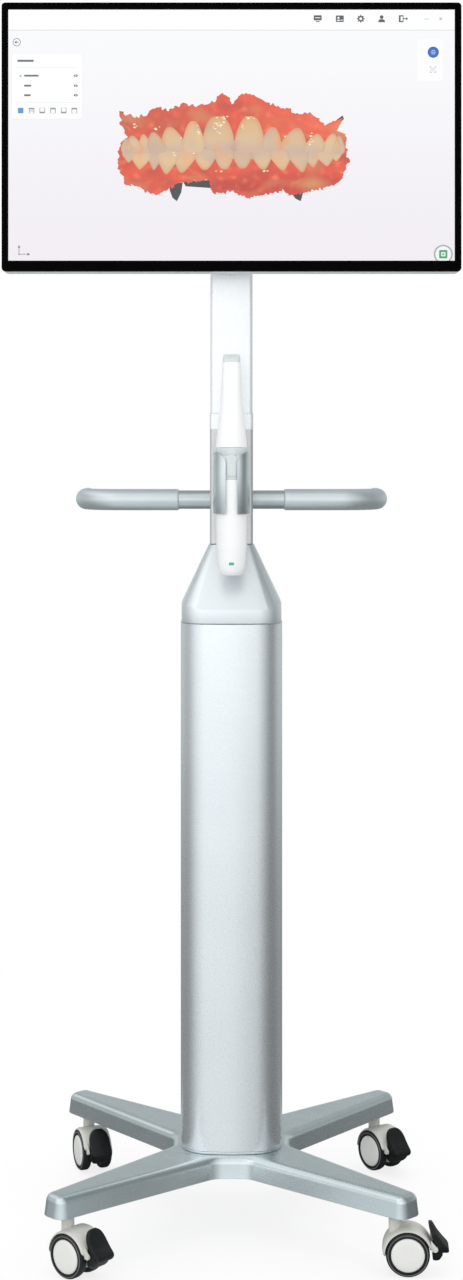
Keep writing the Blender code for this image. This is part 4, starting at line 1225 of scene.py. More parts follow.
@dataclass
class Handpiece:
    """The scanner handpiece in its cradle."""

    axis_y: float = -66.0
    cradle_r: float = 21.7
    cradle_z: Flat = (853.4, 925.7)
    slot: float = 13.7
    shoulder: float = 14.0
    ring_z: Flat = (894.2, 931.6)
    key_z: Flat = (898.0, 923.6)
    key_half: float = 5.5
    key_rise: float = 2.2
    key_grooves: tuple[float, ...] = (899.6, 907.6, 912.8)
    tip_top: float = 1042.0
    tip_wall: float = 1.7
    tail_z: float = 780.0
    shell_wall: float = 2.2
    sides: int = 64

    def place(self) -> Matrix:
        """The handpiece's axis."""
        return Matrix.Translation((0, self.axis_y, 0))

    def radius(self, z: float) -> float:
        """The handpiece's radius at a height where it is round.

        Args:
            z: The height.

        Returns:
            The radius.
        """
        return 17.9 + 0.9 * max(0.0, min(1.0, (z - 815.0) / (self.ring_z[1] - 815.0)))

    def build(self) -> int:
        """Makes all its pieces.

        Returns:
            How many pieces it has.
        """
        self.build_cradle()
        self.build_shells()
        self.build_ring()
        self.build_tip()
        dress_node("cradle_bracket", CRADLE)
        dress_node("status_light", STATUS)
        dress_node("optics_barrel", OPTICS)
        dress_node("tip_mirror", MIRROR)
        return 9

    def build_cradle(self) -> None:
        """The sleeve that is open to the front, with a shouldered slot."""
        low, high = self.cradle_z
        form = Form()
        form.turn([(self.cradle_r, high), (self.cradle_r, low), (self.radius(low) + 0.6, low),
                   (self.radius(high) + 0.6, high)], self.sides, CRADLE, self.place())
        half, shoulder = self.slot / 2, self.shoulder
        bend = arc((half + shoulder, high - shoulder), shoulder, 180, 90, 12)
        slot = [(half, low - 10)] + bend + [(half + shoulder, high + 10)]
        slot += [(-x, z) for x, z in reversed(slot)]
        cutter = Form()
        lay = Matrix.Translation((0, self.axis_y - 20, 0)) @ Matrix.Rotation(radians(90), 4, "X")
        cutter.plate(slot, -15, 15, CRADLE, lay)
        form.piece("cradle_fine", "root", ("cradle",), (cutter,), edge=0.5, angle=50)

    def build_shells(self) -> None:
        """The front and rear halves of the housing."""
        top = self.ring_z[0] - GAP
        sections = [(self.tail_z, 7.0, 0.9), (self.tail_z + 0.4, 10.2, 0.92), (self.tail_z + 1.6, 12.6, 0.94),
                    (self.tail_z + 4.0, 14.4, 0.96), (self.tail_z + 8.0, 15.7, 0.98), (self.tail_z + 14.0, 16.6, 1.0),
                    (self.tail_z + 24.0, 17.2, 1.0), (815.0, self.radius(815), 1.0), (top, self.radius(top), 1.0)]
        for node, side in (("scanner_front_shell", -1), ("scanner_rear_shell", 1)):
            half = [pi * i / 32 for i in range(33)]
            form, hollow = Form(), Form()
            form.loft([[(r * cos(a), side * max(r * depth * sin(a), GAP / 2), z) for a in half]
                       for z, r, depth in sections], SCANNER_WHITE, self.place())
            inside = [(z, r - self.shell_wall, depth) for z, r, depth in sections[3:]]
            inside.append((top + 5, *inside[-1][1:]))
            hollow.loft([[(r * cos(a), r * depth * sin(a), z) for a in (2 * pi * i / 64 for i in range(64))]
                         for z, r, depth in inside], SCANNER_WHITE, self.place())
            cutters: tuple[Form, ...] = (hollow,)
            if side < 0:
                hole = Form()
                lay = self.place() @ Matrix.Rotation(radians(90), 4, "X")
                hole.plate(rounded(6.2, 3.4, 1.4, 6, (0, 794.5)), 10, 25, SCANNER_WHITE, lay)
                cutters = (hollow, hole)
            form.piece(f"{node}_fine", "root", (node,), cutters, angle=45)

    def build_ring(self) -> None:
        """The grey control ring with the scan button."""
        low, high = self.ring_z
        wall = 3.4
        form = Form()
        profile = [(self.radius(high) - wall, high), (self.radius(high), high)]
        for z in (high - 9.6, low + 1.8):
            r = self.radius(z)
            profile += [(r, z + 0.7), (r - 0.35, z + 0.25), (r - 0.35, z - 0.25), (r, z - 0.7)]
        profile += [(self.radius(low), low), (self.radius(low) - wall, low)]
        form.turn(profile, self.sides, SCANNER_GREY, self.place())
        lay = Matrix.Translation((0, self.axis_y - 18, 0)) @ Matrix.Rotation(radians(90), 4, "X")
        recess = Form()
        recess.plate(self.key_outline(0.15), -6, 6, SCANNER_GREY, lay)
        form.piece("control_ring_fine", "root", ("control_ring",), (recess,), angle=40)
        key, crown, grooves = Form(), Form(), Form()
        key.plate(self.key_outline(), -1.5, 4.0, KEY_GREY, lay)
        face, out = self.radius(self.key_z[1]) + 0.2, self.cradle_r + 4
        crown.turn([(out, high), (face, high), (face, low), (out, low)], self.sides, KEY_GREY, self.place())
        for z in self.key_grooves:
            grooves.turn([(out, z + 0.35), (face - 0.35, z + 0.1), (face - 0.35, z - 0.1), (out, z - 0.35)],
                         self.sides, KEY_GREY, self.place())
        for x in (-3.0, -1.0, 1.0, 3.0):
            grooves.plate(rounded(0.5, 5.4, 0.2, 3, (x, 918.7)), face - 18.4, 5.0, KEY_GREY, lay)
        key.piece("scan_button_fine", "scan_button", ("scan_button",), (crown, grooves), angle=35)

    def key_outline(self, gap: float = 0.0) -> list[Flat]:
        """The scan button's outline, with a shallow arch at its top.

        Args:
            gap: How far it is widened for the recess.

        Returns:
            The outline.
        """
        half, (foot, head), rise = self.key_half + gap, self.key_z, self.key_rise
        radius = (half * half + rise * rise) / (2 * rise)
        turn = degrees(asin(half / radius))
        return arc((0, head + gap - radius), radius, 90 - turn, 90 + turn, 16) + [(-half, foot - gap), (half, foot - gap)]

    def tip_ring(self, z: float, width: float, depth: float, shift: float, radius: float) -> list[Point]:
        """One ring of the tip.

        Args:
            z: Its height.
            width: Its width.
            depth: Its depth.
            shift: How far it is moved to the rear.
            radius: Its corner radius.

        Returns:
            The ring.
        """
        return [(x, y + shift, z) for x, y in rounded(width, depth, radius, 12)]

    def build_tip(self) -> None:
        """The removable tip with its mirror window at the rear, and a thin grey shell over its bevelled top whose grey
        is painted shade.
        """
        base = self.ring_z[1] + GAP
        sections = [(base, 37.5, 37.5, 0.0, 18.6), (942.0, 35.4, 35.6, 0.2, 16.9), (954.0, 32.8, 33.0, 0.4, 15.0),
                    (965.0, 29.8, 29.8, 0.7, 12.7), (976.0, 27.2, 27.0, 1.0, 10.5), (990.0, 24.9, 23.8, 1.6, 8.8),
                    (1004.0, 23.4, 21.0, 2.2, 7.5), (1018.0, 22.3, 19.4, 2.8, 6.7), (1030.0, 21.2, 18.0, 3.4, 6.0),
                    (1034.0, 20.8, 16.8, 3.9, 5.6), (1036.8, 20.5, 15.0, 4.6, 5.0), (1039.0, 20.0, 11.6, 6.0, 4.2),
                    (1040.6, 19.2, 8.4, 7.2, 3.4), (1041.6, 18.0, 6.6, 7.6, 2.8), (self.tip_top, 16.4, 5.0, 7.6, 2.2)]
        form = Form()
        form.loft([self.tip_ring(*section) for section in sections], SCANNER_WHITE, self.place())
        window = Form()
        lay = self.place() @ Matrix.Rotation(radians(-90), 4, "X")
        window.plate(rounded(13.0, 17.0, 2.5, 8, (0, -1020.5)), 5.5, 20.0, OPTICS, lay)
        hollow, wall = Form(), self.tip_wall
        inside = [(base - 5, *sections[0][1:]), *sections[1:9]]
        hollow.loft([self.tip_ring(z, width - 2 * wall, depth - 2 * wall, shift, max(radius - wall, 2.0))
                     for z, width, depth, shift, radius in inside], SCANNER_WHITE, self.place())
        form.piece("scanner_tip_fine", "scanner_tip", ("scanner_tip",), (hollow, window), angle=45)
        # Painted shade: a thin grey shell over the bevelled top of the tip, for the shade that falls there.
        shade_cap, rim = Form(), 0.16
        shade_cap.loft([self.tip_ring(z, width + rim, depth + rim, shift, radius) for z, width, depth, shift, radius
                  in [(1032.6, 21.0, 17.3, 3.7, 5.7), *sections[9:-1]]]
                 + [self.tip_ring(self.tip_top + rim / 2, *sections[-1][1:])],
                 TIP_PAINTED_SHADE, self.place())
        shade_cap.piece("tip_shade_cap", "scanner_tip", angle=60)


# Screen picture

@dataclass
class Picture:
    """The picture on the screen, drawn in the screen's dots from its upper left corner, in layers of flat shapes."""

    centre: Point
    dots: Flat = (1920.0, 1080.0)
    pitch: float = 526.7 / 1920.0
    layer_step: float = 0.04
    points: list[Point] = field(default_factory=list)
    colours: list[Colour] = field(default_factory=list)
    faces: list[tuple[int, ...]] = field(default_factory=list)

    def mesh(self, grid: list[list[Flat]], shades: list[list[Colour]], layer: int, closed: bool = False) -> None:
        """Draws a skin between rows of equally many points, each with its colour.

        Args:
            grid: The rows of points, in dots.
            shades: A colour for each point.
            layer: How far to the front it lies.
            closed: Joins each row's last point to its first.
        """
        start = len(self.points)
        count = len(grid[0])
        depth = self.centre[1] - self.layer_step * (layer + 1)
        for row, tones in zip(grid, shades):
            for (x, y), tone in zip(row, tones):
                self.points.append((self.centre[0] + (x - self.dots[0] / 2) * self.pitch, depth,
                                    self.centre[2] + (self.dots[1] / 2 - y) * self.pitch))
                self.colours.append(tone)
        for j in range(len(grid) - 1):
            for i in range(count if closed else count - 1):
                k = (i + 1) % count
                a, b = start + j * count, start + (j + 1) * count
                self.faces.append((a + i, a + k, b + k, b + i))

    def shape(self, outline: list[Flat], colour: Colour, layer: int) -> None:
        """Draws a flat shape whose outline can be seen from its middle.

        Args:
            outline: The shape's outline.
            colour: Its colour.
            layer: How far to the front it lies.
        """
        middle = (sum(x for x, _ in outline) / len(outline), sum(y for _, y in outline) / len(outline))
        self.mesh([outline, [middle] * len(outline)], [[colour] * len(outline)] * 2, layer, closed=True)

    def box(self, x: float, y: float, width: float, height: float, colour: Colour, layer: int, radius: float = 0.0) -> None:
        """Draws a rectangle about its middle, with round corners if it has a radius."""
        outline = rounded(width, height, radius or 0.01, 5 if radius else 1, (x, y))
        self.shape(outline, colour, layer)

    def disc(self, x: float, y: float, radius: float, colour: Colour, layer: int) -> None:
        """Draws a disc."""
        self.shape(arc((x, y), radius, 0, 348, 29), colour, layer)

    def ring(self, x: float, y: float, radius: float, width: float, colour: Colour, layer: int,
             turns: Flat = (0, 360)) -> None:
        """Draws a ring, or a part of one, of that width inside its radius."""
        rows = [arc((x, y), r, turns[0], turns[1], 40) for r in (radius, radius - width)]
        self.mesh(rows, [[colour] * 41] * 2, layer)

    def line(self, start: Flat, end: Flat, width: float, colour: Colour, layer: int) -> None:
        """Draws a straight line of that width."""
        along = Vector((end[0] - start[0], end[1] - start[1])).normalized() * (width / 2)
        side = (-along.y, along.x)
        corners = [(start[0] + side[0], start[1] + side[1]), (end[0] + side[0], end[1] + side[1]),
                   (end[0] - side[0], end[1] - side[1]), (start[0] - side[0], start[1] - side[1])]
        self.shape(corners, colour, layer)

    def piece(self, name: str, body: str) -> bpy.types.Object:
        """Makes the picture's object.

        Args:
            name: The object's name.
            body: The body that it rides on.

        Returns:
            The object.
        """
        mesh = bpy.data.meshes.new(name)
        mesh.from_pydata([(x * MM, (y + AXIS_Y) * MM, z * MM) for x, y, z in self.points], [], self.faces)
        tones = mesh.color_attributes.new(PICTURE, "FLOAT_COLOR", "POINT")
        tones.data.foreach_set("color", [value for colour in self.colours for value in (*colour, 1.0)])
        mesh.materials.append(PICTURE_LIGHT.material())
        obj = bpy.data.objects.new(name, mesh)
        bpy.context.scene.collection.objects.link(obj)
        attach(obj, body)
        return obj


def along(line: tuple[Flat, ...], at: float) -> float:
    """The height of a line over a place.

    Args:
        line: The line's corners, from left to right.
        at: The place.

    Returns:
        The height.
    """
    for (x, y), (next_x, next_y) in zip(line, line[1:]):
        if at <= next_x:
            return y + (next_y - y) * max(0.0, (at - x) / (next_x - x))
    return line[-1][1]


def between(first: Colour, second: Colour, share: float) -> Colour:
    """A colour between two others.

    Args:
        first: The colour at share 0.
        second: The colour at share 1.
        share: How much of the second one shows.

    Returns:
        The mixed colour.
    """
    share = max(0.0, min(1.0, share))
    return tuple(a + (b - a) * share for a, b in zip(first, second))


@dataclass
class ScanView:
    """The picture of a scanned set of teeth, in the screen's dots."""

    picture: Picture
    middle_x: float = 963.0
    bite_y: float = 602.0
    half: float = 505.0
    seed: int = 7

    upper: tuple[tuple[float, float, float, float], ...] = (
        (455, 56, 66, 6), (425, 80, 76, 8), (-452, 50, 56, -4), (-420, 82, 66, -10), (350, 92, 74, 16),
        (-370, 62, 72, -12), (-318, 82, 82, -22), (254, 110, 100, 26), (-245, 104, 104, -24), (166, 84, 104, 8),
        (-165, 92, 130, -4), (72, 124, 150, 6), (-58, 132, 150, -4))
    lower: tuple[tuple[float, float, float, float], ...] = (
        (440, 58, 56, 8), (-440, 64, 62, -6), (394, 76, 78, 14), (-388, 84, 92, -10), (337, 70, 84, 12),
        (-329, 64, 94, -8), (276, 92, 104, 26), (-272, 98, 112, -12), (200, 90, 96, 18), (-196, 96, 106, -22),
        (124, 86, 92, 10), (-116, 94, 94, -2), (44, 80, 88, 0), (-36, 84, 92, 2))
    upper_rim: tuple[Flat, ...] = (
        (475, 440), (505, 448), (540, 463), (580, 460), (630, 422), (688, 430), (750, 406), (836, 410), (886, 396),
        (900, 370), (917, 360), (945, 378), (966, 406), (978, 378), (1010, 361), (1052, 370), (1114, 402), (1212, 424),
        (1236, 444), (1296, 448), (1342, 474), (1374, 494), (1434, 468))
    lower_rim: tuple[Flat, ...] = (
        (505, 752), (562, 762), (597, 786), (640, 798), (688, 776), (740, 746), (810, 738), (872, 736), (882, 772),
        (894, 790), (939, 792), (968, 780), (1038, 806), (1068, 806), (1204, 780), (1236, 800), (1296, 786),
        (1330, 780), (1394, 768), (1430, 742))
    left_side: tuple[Flat, ...] = ((440, 475), (492, 486), (520, 500), (546, 505), (566, 492), (590, 477), (646, 476),
                                   (672, 460), (726, 492), (760, 506))
    right_side: tuple[Flat, ...] = ((468, 1436), (522, 1414), (532, 1452), (628, 1460), (654, 1470), (696, 1448),
                                    (742, 1430), (770, 1396))

    def ragged(self, x: float, y: float, size: float) -> float:
        """An uneven offset for the scan's torn edge.

        Args:
            x: Where, in dots.
            y: Where, in dots.
            size: Its largest size.

        Returns:
            The offset.
        """
        slow = noise.noise(Vector((x * 0.012, y * 0.012, self.seed)))
        fast = noise.noise(Vector((x * 0.085, y * 0.085, self.seed + 5)))
        return size * (0.3 * slow + fast)

    def gum_tone(self, x: float, y: float, rim: float) -> Colour:
        """The gum's colour at a place.

        Args:
            x: Where, in dots.
            y: Where, in dots.
            rim: How close it is to the torn rim, from 0 to 1.

        Returns:
            The colour.
        """
        patch = noise.noise(Vector((x * 0.013, y * 0.018, 3.0)))
        deep = max(0.0, min(1.0, (y - 690) / 70)) * max(0.0, min(1.0, (x - 850) / 60))
        shine = max(0.0, noise.noise(Vector((x * 0.03, y * 0.045, 9.0)))) ** 1.5
        warm = max(0.0, noise.noise(Vector((x * 0.008, y * 0.014, 17.0))) - 0.15)
        side = (x - self.middle_x) / 350
        high = max(0.0, min(1.0, (570 - y) / 60))
        tone = between(ink(234, 98, 74), ink(206, 90, 76), 0.5 + 1.3 * patch)
        tone = between(tone, ink(252, 122, 90), 0.6 * high * side)
        tone = between(tone, ink(196, 102, 80), -0.5 * high * side)
        tone = between(tone, ink(190, 72, 64), 0.8 * deep)
        tone = between(tone, ink(255, 134, 102), 1.2 * shine)
        tone = between(tone, ink(214, 150, 106), 1.4 * warm)
        return between(tone, ink(236, 90, 72), 0.5 * rim)

    def draw_gum(self, rim: tuple[Flat, ...]) -> None:
        """Draws one jaw's gum, from the bite line to its torn rim.

        Args:
            rim: The rim's corners.
        """
        columns, rows = 240, 19
        grid, shades = [], []
        for j in range(rows):
            share = j / (rows - 1)
            line, tones = [], []
            for i in range(columns + 1):
                at = rim[0][0] + (rim[-1][0] - rim[0][0]) * i / columns
                reach = along(rim, at) + self.ragged(at, rim[0][1], 15) - self.bite_y
                y = self.bite_y + reach * share
                left = along(self.left_side, y) + self.ragged(40, y, 15)
                right = along(self.right_side, y) + self.ragged(90, y, 15)
                x = left + (right - left) * i / columns
                line.append((x, y))
                tones.append(self.gum_tone(x, y, max(0.0, share - 0.85) / 0.15))
            grid.append(line)
            shades.append(tones)
        self.picture.mesh(grid, shades, 3)

    def tooth_tone(self, x: float, y: float) -> Colour:
        """The teeth's colour at a place: greyish where the jaws meet and warm towards the gum, with slow patches.

        Args:
            x: Where, in dots.
            y: Where, in dots.

        Returns:
            The colour.
        """
        away = abs(y - self.bite_y - self.sag(x))
        cool = noise.noise(Vector((x * 0.012, y * 0.017, 23.0)))
        warm = noise.noise(Vector((x * 0.015, y * 0.015, 31.0))) - 0.12
        tone = between(ink(209, 181, 162), ink(221, 192, 155), away / 42)
        tone = between(tone, ink(228, 186, 138), (away - 42) / 70)
        tone = between(tone, ink(194, 174, 166), 1.2 * cool)
        return between(tone, ink(240, 168, 112), 1.2 * warm)

    def sag(self, x: float) -> float:
        """How far the line where the jaws meet hangs lower there than in the middle."""
        return 17.0 * (abs(x - self.middle_x) / self.half) ** 1.3

    def draw_row(self) -> None:
        """Draws the blurred row where the jaws meet, so that no gum shows between the teeth there."""
        columns, rows = 120, 9
        grid, shades = [], []
        for j in range(rows):
            rise = 2 * j / (rows - 1) - 1
            line, tones = [], []
            for i in range(columns + 1):
                far = 2 * i / columns - 1
                x = self.middle_x + far * self.half * 0.91
                y = self.bite_y + self.sag(x) + rise * 40 * (1 - 0.4 * far * far)
                line.append((x, y))
                tones.append(between(self.tooth_tone(x, y), ink(184, 146, 132), 0.35))
            grid.append(line)
            shades.append(tones)
        self.picture.mesh(grid, shades, 4)

    def draw_tooth(self, x: float, width: float, height: float, lean: float, side: int, layer: int) -> None:
        """Draws one tooth as a crowned shape that fades into its neighbours where the jaws meet.

        Args:
            x: Its middle, from the middle of the arch.
            width: Its width.
            height: Its height.
            lean: How far its neck is to the right.
            side: -1 for the upper jaw, 1 for the lower one.
            layer: How far to the front it lies.
        """
        count = 32
        far = abs(x) / self.half
        low = self.sag(self.middle_x + x) + self.ragged(x, height, 12)
        bite = self.bite_y + side * -6 + low
        height -= side * low
        narrow = (0.14 if side < 0 else 0.34) + 0.34 * min(1.0, 1.6 * far)
        square = 0.62 + 0.2 * min(1.0, 2 * far)
        tinge = noise.noise(Vector((x * 0.31, side * 7.3, 41.0)))
        grid, shades = [], []
        for share in (1.0, 0.93, 0.8, 0.6, 0.35, 0.0):
            line, tones = [], []
            for i in range(count):
                a = 2 * pi * i / count
                across = (1 if cos(a) > 0 else -1) * abs(cos(a)) ** square * (1 - narrow * max(0.0, sin(a)))
                rise = 0.36 + (0.64 * sin(a) if sin(a) > 0 else -0.36 * abs(sin(a)) ** 0.55)
                u, v = across * share, 0.42 + (rise - 0.42) * share
                place = (self.middle_x + x + u * width / 2 + lean * v, bite + side * height * v)
                line.append(place)
                tone = between(self.tooth_tone(*place), ink(238, 202, 150) if tinge > 0 else ink(204, 178, 152),
                               1.1 * abs(tinge))
                edge = max(0.0, share - 0.55) / 0.45
                tones.append(between(tone, ink(204, 140, 108), max(0.0, 0.3 + 0.34 * sin(a)) * edge ** 2))
            grid.append(line)
            shades.append(tones)
        self.picture.mesh(grid, shades, layer, closed=True)

    def draw_glints(self, rng: Random) -> None:
        """Draws the wet highlights on teeth and gum."""
        for x, y, reach, rise, count in ((904, 508, 24, 26, 13), (922, 462, 26, 7, 6), (1014, 506, 9, 14, 4),
                                         (1040, 464, 26, 5, 5), (818, 520, 5, 24, 4), (745, 556, 5, 6, 2),
                                         (1192, 552, 6, 8, 2), (1304, 556, 8, 26, 6), (712, 620, 4, 10, 2),
                                         (800, 618, 4, 4, 1), (905, 696, 12, 3, 3), (1108, 694, 10, 3, 3),
                                         (640, 505, 20, 12, 3), (560, 500, 24, 10, 3)):
            for _ in range(count):
                at = (x + rng.uniform(-reach, reach), y + rng.uniform(-rise, rise))
                size, shade = rng.uniform(3.0, 7.5), rng.random()
                outline = rounded(size * 1.6, size, size * 0.45, 3, at)
                self.picture.shape(outline, between(ink(255, 246, 224), ink(244, 216, 162), shade), 9)

    def draw(self) -> None:
        """Draws the whole scan."""
        rng = Random(self.seed)
        scraps = (
            [(691, 748), (750, 744), (744, 786), (725, 824), (706, 809), (695, 779)],
            [(750, 738), (880, 732), (880, 768), (763, 760)],
            [(1209, 776), (1270, 780), (1258, 824), (1235, 813)],
            [(1380, 498), (1438, 455), (1444, 470), (1403, 506)],
            [(477, 436), (497, 439), (491, 454), (480, 456)],
        )
        for outline in scraps:
            self.picture.shape(outline, ink(74, 80, 82), 2)
        self.draw_gum(self.upper_rim)
        self.draw_gum(self.lower_rim)
        self.draw_row()
        for jaw, side, layer in ((self.lower, 1, 5), (self.upper, -1, 7)):
            for number, (x, width, height, lean) in enumerate(jaw):
                self.draw_tooth(x, width, height, lean, side, layer + number // 2 % 2)
        self.draw_glints(rng)


@dataclass
class ScreenDesk:
    """The plain controls round the scan: header, list card, tool buttons and axis mark."""

    picture: Picture
    header: float = 88.0

    def draw(self) -> None:
        """Draws them all."""
        self.draw_ground()
        self.draw_header()
        self.draw_card()
        self.draw_tools()

    def draw_ground(self) -> None:
        """Draws the background, which darkens a little downwards, and the header bar."""
        top, low = ink(250, 251, 253), ink(241, 237, 243)
        rows = [[(0, y), (1920, y)] for y in (0, 360, 720, 1080)]
        tones = [[between(top, low, share)] * 2 for share in (0, 0.3, 0.75, 1)]
        self.picture.mesh(rows, tones, 0)
        self.picture.box(960, self.header / 2, 1920, self.header, ink(254, 254, 255), 1)
        self.picture.box(960, self.header, 1920, 2.6, ink(211, 212, 216), 2)

    def draw_header(self) -> None:
        """Draws the header's five signs and the window buttons."""
        dark, pale, y = ink(92, 94, 98), ink(254, 254, 255), 39.0
        draw = self.picture
        draw.box(1331, y - 4, 34, 22, dark, 2, 3)
        draw.box(1331, y - 4, 22, 3, pale, 3)
        draw.box(1331, y + 12, 16, 4, dark, 2)
        draw.box(1426, y, 34, 28, dark, 2, 2)
        draw.disc(1420, y - 4, 4.5, pale, 3)
        draw.box(1435, y + 6, 12, 3, pale, 3)
        draw.box(1420, y + 7, 12, 5, pale, 3)
        teeth = [(1516 + r * cos(a), y + r * sin(a)) for i in range(8)
                 for r, a in ((12.5, (i - 0.28) * pi / 4), (17, (i - 0.16) * pi / 4), (17, (i + 0.16) * pi / 4),
                              (12.5, (i + 0.28) * pi / 4))]
        draw.shape(teeth, dark, 2)
        draw.disc(1516, y, 6, pale, 3)
        draw.disc(1606, y - 7, 8, dark, 2)
        draw.shape([(1591, y + 15), (1593, y + 6), (1600, y + 2), (1612, y + 2), (1619, y + 6), (1621, y + 15)], dark, 2)
        draw.box(1690, y, 20, 30, dark, 2, 2)
        draw.box(1692, y, 9, 20, pale, 3)
        draw.box(1705, y, 16, 4, dark, 4)
        draw.shape([(1711, y - 7), (1720, y), (1711, y + 7)], dark, 4)
        draw.box(1800, y + 1, 20, 2.4, ink(170, 172, 176), 2)
        for lean in (-1, 1):
            draw.line((1854, y - 6 * lean), (1866, y + 6 * lean), 2.4, ink(150, 152, 156), 2)

    def draw_card(self) -> None:
        """Draws the back button and the list card with its rows."""
        draw = self.picture
        ring, bar, soft = ink(70, 72, 76), ink(112, 114, 118), ink(226, 228, 232)
        draw.ring(36, 140, 17, 2.4, ring, 2)
        draw.line((29, 140), (44, 140), 2.6, ring, 3)
        draw.shape([(27, 140), (35, 133), (35, 147)], ring, 3)
        draw.box(166, 331, 306, 288, ink(243, 243, 247), 1, 12)
        draw.box(166, 329, 300, 280, ink(254, 254, 255), 2, 10)
        draw.box(74, 220, 70, 9, bar, 3, 2)
        for y in (250, 400):
            draw.box(166, y, 262, 1.6, soft, 3)
        for y, width in ((284, 62), (327, 30), (368, 28)):
            draw.box(68 + width / 2, y, width, 8, bar, 3, 2)
            draw.shape([(290 + 9 * cos(a), y + 5 * sin(a)) for a in (2 * pi * i / 16 for i in range(16))], bar, 3)
            draw.disc(290, y, 2.4, ink(254, 254, 255), 4)
        draw.shape([(46, 288), (52, 280), (58, 288)], ink(160, 162, 166), 3)
        for number, x in enumerate((53, 100, 146, 192, 238, 284)):
            tone = ink(86, 156, 216) if number == 0 else ink(150, 153, 158)
            draw.box(x, 434, 24, 24, tone, 3, 3)
            if number:
                draw.box(x, 434 + (3 if number % 2 else -3), 18, 16, ink(254, 254, 255), 4, 2)
            if number == 1:
                draw.box(x, 436, 18, 3, tone, 5)

    def draw_tools(self) -> None:
        """Draws the tool buttons at the right and the axis mark at the left."""
        draw = self.picture
        draw.box(1814, 216, 112, 180, ink(253, 253, 254), 1, 14)
        draw.disc(1828, 183, 24, ink(52, 108, 205), 2)
        draw.ring(1828, 183, 24, 3, ink(34, 84, 178), 3)
        for lean in (-1, 0, 1):
            draw.box(1828, 183 + 7 * lean, 22 - 6 * abs(lean), 2.6, ink(206, 224, 248), 4)
        for side_x in (-1, 1):
            for side_y in (-1, 1):
                x, y = 1827 + side_x * 12, 258 + side_y * 12
                draw.box(x - side_x * 3, y, 8, 2.4, ink(168, 170, 175), 2)
                draw.box(x, y - side_y * 3, 2.4, 8, ink(168, 170, 175), 2)
        draw.ring(1827, 258, 7, 2, ink(176, 178, 183), 2)
        stroke = ink(120, 118, 124)
        draw.line((46, 1020), (46, 1056), 2.6, stroke, 2)
        draw.line((42, 1052), (84, 1052), 2.6, stroke, 2)
        draw.shape([(40, 1024), (46, 1012), (52, 1024)], ink(168, 92, 92), 2)
        draw.shape([(82, 1046), (94, 1052), (82, 1058)], ink(96, 104, 150), 2)
        x, y, green = 1871, 1052, ink(82, 160, 106)
        draw.ring(x, y, 41, 7, ink(178, 174, 182), 3)
        draw.disc(x, y, 34, ink(240, 249, 245), 2)
        draw.box(x, y, 35, 36, green, 3, 4)
        draw.box(x, y, 19, 19, ink(222, 246, 230), 4, 2)
        draw.box(x, y, 7, 7, green, 5)


# Display

@dataclass
class Display:
    """The monitor, its mount plate, and the tilt joint that carries it."""

    front: float = -78.0
    width: float = 542.4
    screen: Flat = (526.7, 296.4)
    top: float = 1456.4
    bezel_top: float = 8.1

    def centre(self) -> Point:
        """The middle of the lit area, on the panel's face."""
        return (0.0, self.front + 2.3, self.top - self.bezel_top - self.screen[1] / 2)

    def build(self) -> int:
        """Makes all its pieces.

        Returns:
            How many pieces it has.
        """
        dress_node("display_frame", BEZEL)
        dress_node("display_panel", PANEL)
        soften_node("display_back", DISPLAY_WHITE, "display", edge=0.0)
        dress_node("power_inlet", OPTICS)
        dress_node("mount_plate", PLATE)
        dress_node("tilt_bracket", PLATE)
        dress_node("tilt_pin", STEEL)
        picture = Picture(self.centre())
        ScreenDesk(picture).draw()
        ScanView(picture).draw()
        picture.piece("screen_picture", "display")
        return 8


# Studio

